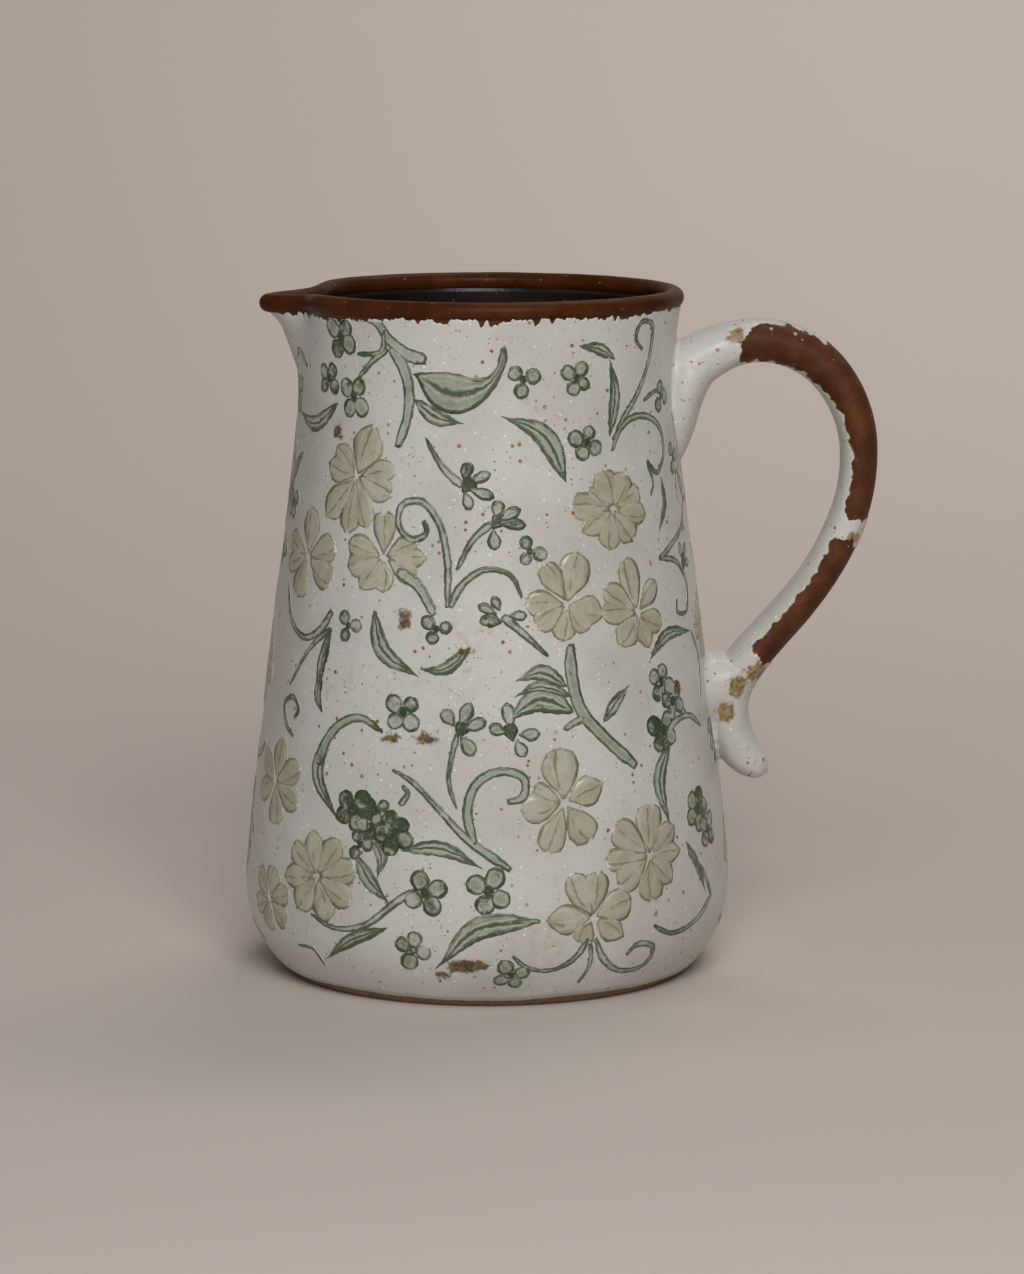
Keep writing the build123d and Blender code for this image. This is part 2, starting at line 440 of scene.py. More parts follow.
def white_ground(shade):
    """Colour, roughness and relief that the bare white glaze and the glaze over the paint share."""
    colour = shade.mix(shade.blotches(22.0, 3.0, 0.55, 0.42, 0.66), WHITE, WHITE_WARM)
    colour = shade.mix(shade.blotches(46.0, 3.0, 0.6, 0.5, 0.74, 0.8), colour, WHITE_COOL)
    grain = shade.noise(900.0, 3.0, 0.7)
    colour = shade.mix(shade.ramp(grain, 0.35, 0.7, 0.0, 0.16), colour, GRAIN)
    stain = shade.ramp(shade.noise(34.0, 4.0, 0.6, 0.4), 0.60, 0.74) * shade.blotches(420.0, 3.0, 0.5, 0.4, 0.7)
    colour = shade.mix(stain * 0.5, colour, STAIN)
    clump = shade.blotches(55.0, 3.0, 0.6, 0.40, 0.60)
    specks, kind = shade.dots(350.0, 0.42, 0.10, 0.33)
    brown = shade.mix(shade.ramp(kind, 0.25, 0.6), UMBER, RUST)
    colour = shade.mix(specks * (clump * 0.5 + 0.5), colour, brown)
    fine, kind = shade.dots(850.0, 0.38, 0.12, 0.36)
    colour = shade.mix(fine * (clump * 0.7 + 0.2), colour, shade.mix(kind, OLIVE_SPECK, RUST_SPECK))
    # pale raised flecks in the glaze, partly real flecks and partly painted glints: their colour is brightened
    # to stand in for highlights
    flecks_and_glints, kind = shade.dots(620.0, 0.42, 0.10, 0.36)
    colour = shade.mix(flecks_and_glints * 0.7, colour, CHALK_AND_GLINT)
    pits, kind = shade.dots(400.0, 0.25, 0.06, 0.16)
    height = grain * 0.25 + flecks_and_glints * 0.9 - pits * 0.8 + shade.noise(160.0, 2.0) * 0.9
    rough = shade.noise(120.0, 2.0) * 0.16 + 0.24 + flecks_and_glints * 0.1
    return colour, rough, height


def smudged(shade, colour, tones):
    """Brown bloom where the attribute smudge is high, broken up into specks."""
    heat = shade.attribute("smudge")
    broken = shade.noise(330.0, 5.0, 0.7) * 1.7 + shade.noise(120.0, 3.0) * 0.9
    share = shade.ramp(heat * 1.2 + broken, 1.98, 2.30)
    return shade.mix(share * 0.94, colour, shade.mix(shade.blotches(700.0, 2.0, 0.5, 0.42, 0.62), *tones))


def white_glaze():
    """The white coat where nothing is painted."""
    shade = Shade("white_glaze")
    colour, rough, height = white_ground(shade)
    return shade.finish(smudged(shade, colour, WALL_SMUDGE), rough, shade.bump(height, 0.35))


def paint_glaze(name, paint, stroke, vein=None, folded=False):
    """Translucent paint under the glaze: pooled at its edges, washed out inside, with veins or folds.

    The mesh gives edge, the distance to the film's border in millimetres, along and across the film, tone, a
    number for each film, and dark, how much shadow it carries. stroke is how wide the outline is.
    """
    wash, pool, deep = paint
    shade = Shade(name)
    ground, rough, height = white_ground(shade)
    edge, along, across = shade.attribute("edge"), shade.attribute("along"), shade.attribute("across")
    tone, dark = shade.attribute("tone"), shade.attribute("dark")
    wobble = shade.noise(480.0, 4.0, 0.65) - 0.5
    blot = shade.noise(150.0, 4.0, 0.65, 0.3)
    tooth = shade.noise(900.0, 3.0, 0.6) - 0.5

    # where the paint covers, and how thickly
    stray = edge + wobble * 0.55 + tooth * 0.32
    cover = shade.ramp(stray, 0.03, 0.16)
    if folded:
        cover = cover * shade.ramp(1.0 - along + (tooth + wobble) * 0.30, 0.015, 0.07)
    density = shade.ramp(blot + tone * 0.30, 0.30, 0.80, 0.42, 1.0)
    colour = shade.mix(density, ground, wash)
    colour = shade.mix(shade.blotches(1300.0, 2.0, 0.6, 0.36, 0.64, 0.40) * density, colour, pool)
    colour = shade.mix(shade.ramp(blot, 0.48, 0.66, 0.0, 0.62), colour, pool)

    # the outline, heavier in places, with a paler band inside it
    heavy = shade.ramp(blot + across * 0.12, 0.36, 0.62, 0.75, 1.35)
    line = shade.ramp(stray / heavy, stroke * 0.55, stroke, 1.0, 0.0)
    broken = shade.ramp(shade.noise(230.0, 3.0, 0.7) + dark * 0.4, 0.34, 0.62, 0.25, 0.95)
    colour = shade.mix(shade.near(stray - stroke - 0.25, 0.0, 0.30) * 0.45, colour, ground)
    if folded:
        place = across + wobble * 0.3 - (tone - 0.5) * 1.1 * (1.0 - along * 0.5)
        crease = shade.near(place, 0.03, 0.12) * shade.ramp(along, 0.12, 0.3) * shade.ramp(blot, 0.36, 0.52)
        behind = shade.ramp(place, 0.0, 0.06) * shade.ramp(tone, 0.3, 0.7)
        colour = shade.mix(behind * 0.40, colour, pool)
        colour = shade.mix(crease * 0.85, colour, deep)
        streak = shade.noise(7.0, 3.0, 0.6, at=shade.grain_line(across, along))
        colour = shade.mix(shade.ramp(streak, 0.46, 0.62, 0.0, 0.4), colour, pool)
    if vein:
        place = across + wobble * 0.30
        middle = shade.near(place, 0.06, 0.24) * shade.ramp(along, 0.04, 0.16) * shade.ramp(along, 0.97, 0.82)
        beside = shade.near(abs(place) - 0.27, 0.0, 0.14) * shade.ramp(blot, 0.40, 0.55)
        colour = shade.mix(beside * 0.55, colour, ground)
        colour = shade.mix(middle * 0.90, colour, vein)
        aside = shade.near(abs(place) - 0.52, 0.02, 0.10) * shade.ramp(blot, 0.45, 0.6)
        colour = shade.mix(aside * 0.35, colour, pool)
    colour = shade.mix(line * broken * 0.88, colour, deep)

    # shadow, scratches and the glaze outside the paint
    patch = shade.noise(330.0, 3.0, 0.6) - 0.5
    shadow = shade.ramp(dark + (blot - 0.5) * 0.8 + patch * 1.3 + wobble * 0.4, 0.42, 0.74)
    colour = shade.mix(shadow * 0.92, colour, deep)
    scratch = shade.ramp(shade.noise(420.0, 4.0, 0.75, 1.5), 0.64, 0.69)
    colour = shade.mix(scratch * 0.65, colour, ground)
    colour = smudged(shade, shade.mix(cover, ground, colour), WALL_SMUDGE)
    relief = height + line * cover * 0.8 + (1.0 - density) * 0.4
    return shade.finish(colour, rough, shade.bump(relief, 0.35))


def lip_material():
    """Reddish-brown glaze that breaks lighter where it is thin."""
    shade = Shade("brown_lip_glaze")
    body, worn, mottle = LIP_BROWN
    colour = shade.mix(shade.blotches(90.0, 4.0, 0.6, 0.35, 0.7), body, worn)
    colour = shade.mix(shade.blotches(420.0, 4.0, 0.7, 0.45, 0.75, 0.6), colour, mottle)
    specks, kind = shade.dots(700.0, 0.16, 0.10, 0.34)
    colour = shade.mix(specks * 0.5, colour, shade.mix(kind, (0.24, 0.14, 0.06), (0.36, 0.28, 0.20)))
    height = shade.noise(500.0, 3.0, 0.6) * 0.5 + shade.noise(130.0, 2.0) * 0.8 + specks * 0.4
    return shade.finish(colour, shade.noise(200.0, 3.0) * 0.22 + 0.30, shade.bump(height, 0.3), specular=0.08)


def clay_material():
    """Bare tan clay at the foot, brown glaze where the wall shows under the lip, and a darker inner face under
    the lip, dark glaze darkened further as painted shade inside the mouth.
    """
    shade = Shade("stoneware_body")
    tan, pale, crumb = BARE_CLAY
    tan = shade.mix(shade.noise(60.0, 4.0, 0.6), tan, pale)
    tan = shade.mix(shade.blotches(800.0, 3.0, 0.5, 0.45, 0.7, 0.6), tan, crumb)
    body, worn, inner = NECK_BROWN_AND_SHADE
    brown = shade.mix(shade.noise(140.0, 4.0, 0.6), body, worn)
    level = shade.node(
        "ShaderNodeVectorMath", {"operation": "MULTIPLY"}, {0: shade.place(), 1: (1.0, 1.0, 0.0)})
    from_axis = shade.node("ShaderNodeVectorMath", {"operation": "LENGTH"}, {0: level}, "Value")
    # inner face of the wall under the lip: dark glaze, darkened further as painted shade inside the mouth
    brown = shade.mix(shade.ramp(from_axis, 0.0630, 0.0618), brown, inner)
    glazed = shade.ramp(shade.node("ShaderNodeSeparateXYZ", None, {0: shade.place()}, 2), 0.10, 0.12)
    return shade.finish(shade.mix(glazed, tan, brown), 0.75 - glazed * 0.45,
                        shade.bump(shade.noise(700.0, 3.0), 0.4, 0.0003), specular=0.22)


def lining_material():
    """Dark glaze inside, with a few pale specks; its colour is darkened further as painted shade for the inside
    of the vessel.
    """
    shade = Shade("dark_lining")
    # the body colour is the dark liner glaze, darkened further as painted shade inside the vessel
    body, worn, speck = LINING_AND_SHADE
    specks, kind = shade.dots(600.0, 0.25, 0.10, 0.35)
    colour = shade.mix(shade.blotches(60.0, 4.0, 0.6, 0.35, 0.7), body, worn)
    colour = shade.mix(specks * 0.5, colour, speck)
    height = shade.noise(240.0, 3.0) + specks * 0.5
    rough = shade.noise(150.0, 2.0) * 0.2 + 0.42
    return shade.finish(colour, rough, shade.bump(height, 0.35, 0.0005), specular=0.05)


def handle_material():
    """White glaze, worn through to brown glaze where the attribute bare is high."""
    shade = Shade("handle_glaze")
    ground, rough, height = white_ground(shade)
    ground = smudged(shade, ground, HANDLE_SMUDGE)
    level = shade.attribute("bare") + (shade.noise(330.0, 5.0, 0.65) - 0.5) * 0.55
    worn = shade.ramp(level, 0.485, 0.515)
    body, thin, mottle = HANDLE_BROWN
    brown = shade.mix(shade.blotches(110.0, 4.0, 0.6, 0.35, 0.7), body, thin)
    brown = shade.mix(shade.blotches(640.0, 3.0, 0.5, 0.50, 0.78, 0.6), brown, mottle)
    chips, kind = shade.dots(380.0, 0.22, 0.10, 0.38)
    brown = shade.mix(chips * 0.85, brown, shade.mix(shade.ramp(kind, 0.4, 0.6), OCHRE, (0.50, 0.46, 0.40)))
    fringe = shade.near(level - 0.5, 0.0, 0.12) * shade.blotches(520.0, 3.0, 0.5, 0.46, 0.60)
    colour = shade.mix(fringe * 0.85, shade.mix(worn, ground, brown), OCHRE)
    relief = height * (1.0 - worn * 0.6) + shade.ramp(level, 0.47, 0.53, 2.2, 0.0) + chips * worn * 1.2
    return shade.finish(colour, rough + worn * 0.28, shade.bump(relief, 0.45), specular=0.26)


# ---------------------------------------------------------------- settings

class PitcherSettings(bpy.types.PropertyGroup):
    """Sizes, a mesh count and the seed that a user would change."""

    edge_raggedness: FloatProperty(
        name="Edge raggedness", description="How far the white coat's upper edge strays, in millimetres",
        default=1.0, min=0.0, max=3.0)
    coat_columns: IntProperty(
        name="Coat columns", description="Columns of the white coat's mesh", default=1200, min=200, max=1300)
    paint_height: FloatProperty(
        name="Paint height", description="How far the paint stands off the glaze", default=0.12 * MM,
        min=0.0, unit="LENGTH", precision=5)
    lip_radius: FloatProperty(
        name="Lip radius", description="Half the thickness of the rolled lip", default=LIP_RADIUS * MM,
        min=0.0, unit="LENGTH", precision=5)
    seed: IntProperty(name="Seed", description="Seed of everything that is scattered", default=7)


class StageSettings(bpy.types.PropertyGroup):
    """The floor and the light."""

    floor_colour: FloatVectorProperty(
        name="Floor colour", description="Colour of the floor and the backdrop", subtype="COLOR", size=3,
        default=(0.63, 0.56, 0.51), min=0.0, max=1.0)
    key_power: FloatProperty(
        name="Key light", description="Power of the main light, in watts", default=18.3, min=0.0)
    wall_power: FloatProperty(
        name="Wall light", description="Power of the light on the backdrop, in watts", default=20.0, min=0.0)
    fill_power: FloatProperty(
        name="Fill light", description="Power of the side light, in watts", default=1.7, min=0.0)


# ---------------------------------------------------------------- pieces

# Brown smudges of the wall: direction, height, half width and half height in millimetres, strength
SMUDGES = [
    (-50, 185, 5, 4, 1), (-22, 127, 4, 5, 1.15), (-4, 119, 7, 3, 0.8), (-15, 91, 8, 3, 1.15),
    (-24, 89, 7, 2, 1), (-5, 16, 9, 3, 1.15), (58, 101, 3, 4, 1.05), (43, 30, 3, 3, 0.9), (21, 160, 7, 7, 0.45),
    (-40, 203, 3, 4, 0.8), (-10, 12, 4, 2, 1), (64, 88, 3, 2, 0.9), (-52, 60, 3, 3, 0.8), (75, 150, 4, 5, 0.7),
    (-75, 120, 4, 6, 0.7), (85, 60, 6, 4, 0.8), (100, 190, 5, 5, 0.7),
]
# The smudges and the painting of the front come again on the back, half a turn round
SIDES = (0.0, 180.0)
DEGREE_LENGTH = 1.25  # millimetres round the wall for each degree


def smudge_at(turn, z):
    """How strongly the brown smudges reach each place of the wall."""
    total = np.zeros(np.broadcast(turn, z).shape)
    for centre, height, wide, tall, force in SMUDGES:
        for side in SIDES:
            across = degrees_from(turn, centre + side) * DEGREE_LENGTH / wide
            total = np.maximum(total, force * np.exp(-across**2 - ((z - height) / tall) ** 2))
    return total


# The coat's upper edge: waves round the wall and their heights in millimetres, and the bites out of it
EDGE_WAVES = ((9, 0.25), (21, 0.28), (47, 0.30), (83, 0.30), (131, 0.28), (197, 0.22), (290, 0.16))
EDGE_BITES = 46
EDGE_LEVEL = 224.35
EDGE_LIMIT = 225.2
EVEN_BELOW = 216.0  # the rows of the coat's mesh are level at its foot and follow the ragged edge above this
TUCK = -0.15  # how far the back of the coat goes into the clay


def coat_edge(turn, seed, raggedness):
    """Height of the coat's upper edge: waves, bites, and a drop beside and under the spout."""
    draw = np.random.default_rng(seed)
    a = np.radians(turn)
    waves = 0.0
    for k, size in EDGE_WAVES:
        waves = waves + size * np.sin(k * a + draw.uniform(0, math.tau) + 1.5 * np.sin(5 * a))
    bites = np.zeros(len(turn))
    for centre in draw.uniform(-180, 180, EDGE_BITES):
        wide = draw.uniform(0.5, 2.2)
        deep = draw.uniform(0.4, 1.8)
        bites = np.maximum(bites, deep * np.exp(-(degrees_from(turn, centre) / wide) ** 4))
    beside = sum(np.exp(-((turn - SPOUT_SIDE + way) / 22.0) ** 2) for way in (-30.0, 30.0))
    under = np.exp(-((turn - SPOUT_SIDE) / 14.0) ** 2)
    return np.minimum(EDGE_LEVEL + raggedness * (0.75 * waves - bites) - 2.2 * beside - 1.6 * under, EDGE_LIMIT)


class PITCHER_OT_white_coat(bpy.types.Operator):
    """Pours the white coat over the wall, with a ragged upper edge."""

    bl_idname = "pitcher.white_coat"
    bl_label = "White Coat"

    def execute(self, context):
        settings = context.scene.pitcher
        turn = np.linspace(-180.0, 180.0, settings.coat_columns, endpoint=False)
        top = coat_edge(turn, settings.seed, settings.edge_raggedness)
        bottom = BARE_BELOW + 0.5 * ripple(np.radians(turn) * 64.0 * 0.06, 5, 6)
        rows = np.concatenate([
            np.linspace(0.0, 26.0, 14), np.linspace(31.0, 196.0, 30), np.linspace(200.0, EVEN_BELOW, 6)])
        lower = bottom + rows[:, None] / EVEN_BELOW * (EVEN_BELOW - bottom)
        upper = EVEN_BELOW + np.linspace(0.0, 1.0, 9)[1:, None] ** 0.8 * (top - EVEN_BELOW)
        z = np.concatenate([lower, upper])
        behind = z[[-6, -14, -20, -28, -36, -42, -46, -49, -52, 0]]
        layers = np.concatenate([
            wall_point(turn, z, WHITE_COAT), wall_point(turn, z[-1:] + 0.12, WHITE_COAT * 0.55),
            wall_point(turn, z[-1:] - 0.05, TUCK), wall_point(turn, behind, TUCK)])
        rows, columns = layers.shape[:2]
        faces = grid_faces(rows, columns, True)
        this, last = np.arange(columns), (rows - 1) * columns
        after = (this + 1) % columns
        faces += np.stack([this + last, after + last, after, this], -1).tolist()
        values = {"smudge": smudge_at(np.broadcast_to(turn, layers.shape[:2]), layers[..., 2]).ravel()}
        make_piece("white_coat", layers.reshape(-1, 3), faces, white_glaze(),
                   ["white_body_glaze"], values)
        return {"FINISHED"}


class PITCHER_OT_body_and_lining(bpy.types.Operator):
    """Gives the clay body and the dark lining their finishes."""

    bl_idname = "pitcher.body_and_lining"
    bl_label = "Body and Lining"

    def execute(self, context):
        clay = clay_material()
        finishes = {node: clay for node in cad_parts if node.startswith("clay_")}
        finishes["dark_lining_glaze"] = lining_material()
        for node, material in finishes.items():
            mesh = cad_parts[node].data
            mesh.materials.clear()
            mesh.materials.append(material)
        return {"FINISHED"}


class Tree:
    """A geometry node tree under construction."""

    def __init__(self, name, inputs):
        self.tree = bpy.data.node_groups.new(name, "GeometryNodeTree")
        self.add_socket("Geometry", "INPUT", "NodeSocketGeometry")
        for label, kind, default in inputs:
            made = self.add_socket(label, "INPUT", kind)
            if default is not None:
                made.default_value = default
        self.add_socket("Geometry", "OUTPUT", "NodeSocketGeometry")
        self.given = self.tree.nodes.new("NodeGroupInput").outputs

    def add_socket(self, name, way, kind):
        return self.tree.interface.new_socket(name=name, in_out=way, socket_type=kind)

    def node(self, kind, settings=None, inputs=None, output=0):
        """A new node's output."""
        return add_node(self.tree, kind, settings, inputs).outputs[output]

    def field(self, name):
        return self.node("GeometryNodeInputNamedAttribute", {"data_type": "FLOAT"}, {"Name": name}, "Attribute")

    def close(self, geometry):
        """Makes instances real, gives them the material and ends the tree."""
        solid = self.node("GeometryNodeRealizeInstances", None, {"Geometry": geometry})
        material = self.given["Material"]
        coloured = self.node("GeometryNodeSetMaterial", None, {"Geometry": solid, "Material": material})
        add_node(self.tree, "NodeGroupOutput", None, {0: coloured})
        return self.tree


def grown_mesh(name, data, tree, values):
    """Runs a tree on an object made of data and returns the plain mesh that it grows."""
    holder = bpy.data.objects.new(name, data)
    bpy.context.scene.collection.objects.link(holder)
    growth = holder.modifiers.new("growth", "NODES")
    growth.node_group = tree
    for item in tree.interface.items_tree:
        if item.name in values:
            growth[item.identifier] = values[item.name]
    bpy.context.view_layer.update()
    grown = bpy.data.meshes.new_from_object(holder.evaluated_get(bpy.context.evaluated_depsgraph_get()))
    holder.modifiers.remove(growth)
    bpy.data.objects.remove(holder)
    return grown


def lip_tree():
    """Bead swept along the lip's line, a little uneven."""
    made = Tree("rolled_lip", [
        ("Radius", "NodeSocketFloat", 0.003), ("Sides", "NodeSocketInt", 40),
        ("Unevenness", "NodeSocketFloat", 0.0003), ("Material", "NodeSocketMaterial", None)])
    size = {"Resolution": made.given["Sides"], "Radius": made.given["Radius"]}
    ring = made.node("GeometryNodeCurvePrimitiveCircle", None, size)
    bead = made.node("GeometryNodeCurveToMesh", None, {"Curve": made.given["Geometry"], "Profile Curve": ring})
    lump = made.node("ShaderNodeTexNoise", None, {"Scale": 70.0, "Detail": 3.0}, "Fac")
    swing = made.node("ShaderNodeMath", {"operation": "SUBTRACT"}, {0: lump, 1: 0.5})
    push = made.node("ShaderNodeMath", {"operation": "MULTIPLY"}, {0: swing, 1: made.given["Unevenness"]})
    normal = made.node("GeometryNodeInputNormal")
    shift = made.node("ShaderNodeVectorMath", {"operation": "SCALE"}, {0: normal, "Scale": push})
    return made.close(made.node("GeometryNodeSetPosition", None, {"Geometry": bead, "Offset": shift}))


SPOUT_DIP = 2.2  # how far the lip drops at the tip of the spout


class PITCHER_OT_rolled_lip(bpy.types.Operator):
    """Rolls the brown lip along the top of the wall and out along the spout."""

    bl_idname = "pitcher.rolled_lip"
    bl_label = "Rolled Lip"

    def execute(self, context):
        settings = context.scene.pitcher
        turn = np.linspace(-180.0, 180.0, 720, endpoint=False)
        line = wall_point(turn, WALL_TOP, uneven=0.0)
        step = 0.05
        tangent = wall_point(turn + step, WALL_TOP, uneven=0.0) - wall_point(turn - step, WALL_TOP, uneven=0.0)
        tangent /= np.linalg.norm(tangent, axis=1, keepdims=True)
        line += LIP_INSET * np.stack([-tangent[:, 1], tangent[:, 0], np.zeros(len(turn))], -1)
        dip = SPOUT_DIP * np.exp(-(degrees_from(turn, SPOUT_SIDE) / 20.0) ** 2)
        line[:, 2] = HEIGHT - LIP_RADIUS - dip
        path = bpy.data.curves.new("lip_line", "CURVE")
        path.dimensions = "3D"
        spline = path.splines.new("POLY")
        spline.points.add(len(line) - 1)
        spline.points.foreach_set("co", np.concatenate([line * MM, np.ones((len(line), 1))], 1).ravel())
        spline.use_cyclic_u = True
        material = lip_material()
        mesh = grown_mesh("lip_line", path, lip_tree(), {"Radius": settings.lip_radius, "Material": material})
        adopt("rolled_lip_bead", mesh, material, ["rolled_lip"])
        return {"FINISHED"}


# ---------------------------------------------------------------- handle

def nearest_on_spine(points, line):
    """For each point the index of the nearest place of the spine."""
    best = np.empty(len(points), int)
    for start in range(0, len(points), 20000):
        part = points[start:start + 20000]
        gap = (part[:, None, 0] - line[None, :, 0]) ** 2 + (part[:, None, 2] - line[None, :, 1]) ** 2
        best[start:start + 20000] = gap.argmin(1)
    return best


ROOT_DEPTH = 2.6  # how far the roots reach into the wall, which is 4.5 thick
SINK = 0.30  # how far a worn place lies below the white
VOXEL = 0.72  # grain of the handle's mesh
# Wall that the roots grow out of: directions, heights, and the lifts of its two faces over the coat
WALL_PATCH = (66.0, 114.0), (58.0, 216.0), (-0.16, -3.2)

# Worn places of the handle, by the distance along its spine in millimetres: start, end, lean of the start
WORN_PATCHES = ((28.5, 115.0, 4.0), (122.5, 171.5, 0.5))
# How far across the strap they reach, from -1 at the inner face to 1 at the outer, at distances along the spine
WORN_ALONG = (28.0, 55.0, 76.0, 95.0, 115.0, 123.0, 150.0, 172.0)
WORN_INNER = (-0.90, -0.88, -0.66, -0.46, -0.40, -0.45, -0.36, -0.42)
WORN_OUTER = (0.78, 0.90, 1.5, 1.5, 1.5, 1.5, 1.5, 1.5)
# Ochre smudges: along the spine, across the strap, length, strength
HANDLE_SMUDGES = (
    (176.0, 0.50, 5.5, 1.15), (184.0, 0.20, 6.5, 1.10), (193.0, -0.05, 4.5, 1.15), (30.5, 0.4, 4.5, 1.0),
    (121.0, 0.5, 3.0, 1.0))


class PITCHER_OT_handle(bpy.types.Operator):
    """Pulls the strap handle, works its roots into the wall and wears its outer face."""

    bl_idname = "pitcher.handle"
    bl_label = "Strap Handle"

    def execute(self, context):
        points, faces = [], []
        for rows, steps, sides, power in (
                (HANDLE, 220, 56, 2.25), (UPPER_ROOT, 30, 40, 2.0), (LOWER_ROOT, 20, 40, 2.0)):
            more, quads = strap_mesh(rows, steps, sides, power)
            faces += shifted(quads, len(points))
            points += more.tolist()
        turns, heights, lifts = WALL_PATCH
        turn, z = np.meshgrid(np.linspace(*turns, 60), np.linspace(*heights, 110))
        faces += shifted(slab_faces(*turn.shape), len(points))
        for lift in lifts:
            points += coat_point(turn, z, np.full(turn.shape, lift)).reshape(-1, 3).tolist()
        mesh = bpy.data.meshes.new("handle_clay")
        mesh.from_pydata((np.array(points) * MM).tolist(), [], faces)
        holder = bpy.data.objects.new("handle_clay", mesh)
        context.scene.collection.objects.link(holder)
        remesh = holder.modifiers.new("even", "REMESH")
        remesh.mode = "VOXEL"
        remesh.voxel_size = VOXEL * MM
        soften = holder.modifiers.new("soften", "SMOOTH")
        soften.iterations = 14
        soften.factor = 0.6
        context.view_layer.update()
        clay = bpy.data.meshes.new_from_object(holder.evaluated_get(context.evaluated_depsgraph_get()))
        bpy.data.objects.remove(holder)
        self.wear(clay)
        adopt("glazed_handle", clay, handle_material(),
              ["strap_handle", "white_handle_glaze", "upper_root_tongue", "lower_root_collar"])
        return {"FINISHED"}

    def wear(self, mesh):
        """Keeps the roots inside the wall, marks where the white has worn off, and sinks those places."""
        count = len(mesh.vertices)
        flat = np.empty(count * 3)
        mesh.vertices.foreach_get("co", flat)
        points = flat.reshape(-1, 3) / MM
        deepest = profile_radius(points[:, 2]) - ROOT_DEPTH
        points[:, :2] *= np.maximum(deepest / np.hypot(points[:, 0], points[:, 1]), 1.0)[:, None]
        mesh.vertices.foreach_get("normal", flat)
        normals = flat.reshape(-1, 3).copy()

        # each point by its distance along the spine, and its place across the strap
        rings, line, at = sweep_points(HANDLE, 400, 8)
        near = nearest_on_spine(points, line)
        along = unit_slopes(line[:, :2])
        outward = np.stack([-along[:, 1], along[:, 0]], -1)
        out = ((points[:, [0, 2]] - line[near, :2]) * outward[near]).sum(1) / line[near, 2]
        side = points[:, 1] / line[near, 3]
        run = at[near]

        wander = 0.09 * ripple(run * 0.30, 3, 7) + 0.07 * ripple(run * 0.9 + points[:, 1] * 0.4, 4, 6)
        inner = np.interp(run, WORN_ALONG, WORN_INNER)
        outer = np.interp(run, WORN_ALONG, WORN_OUTER)
        face = np.clip(0.5 + 2.0 * (np.minimum(out - inner, outer - out) + wander), 0.0, 1.0)
        bare = np.zeros(count)
        for start, end, lean in WORN_PATCHES:
            ends = 1.6 * ripple(points[:, 1] * 0.45 + out * 2.0 + start, 8, 6)
            inside = np.minimum(run + ends - start - lean * (out + 1.0), end - run + ends) / 4.0
            bare = np.maximum(bare, np.clip(0.5 + inside, 0.0, 1.0) * face)
        smudge = np.zeros(count)
        for centre, middle, wide, force in HANDLE_SMUDGES:
            spot = np.exp(-((run - centre) / wide) ** 2 - ((out - middle) / 0.55) ** 2)
            smudge = np.maximum(smudge, force * spot * np.clip(0.5 - side, 0.0, 1.0))
        sunk = np.clip((bare - 0.42) / 0.16, 0.0, 1.0)
        mesh.vertices.foreach_set("co", ((points - normals * (SINK * sunk)[:, None]) * MM).ravel())
        set_values(mesh, {"bare": bare, "smudge": smudge})
        mesh.update()


# ---------------------------------------------------------------- painted decoration

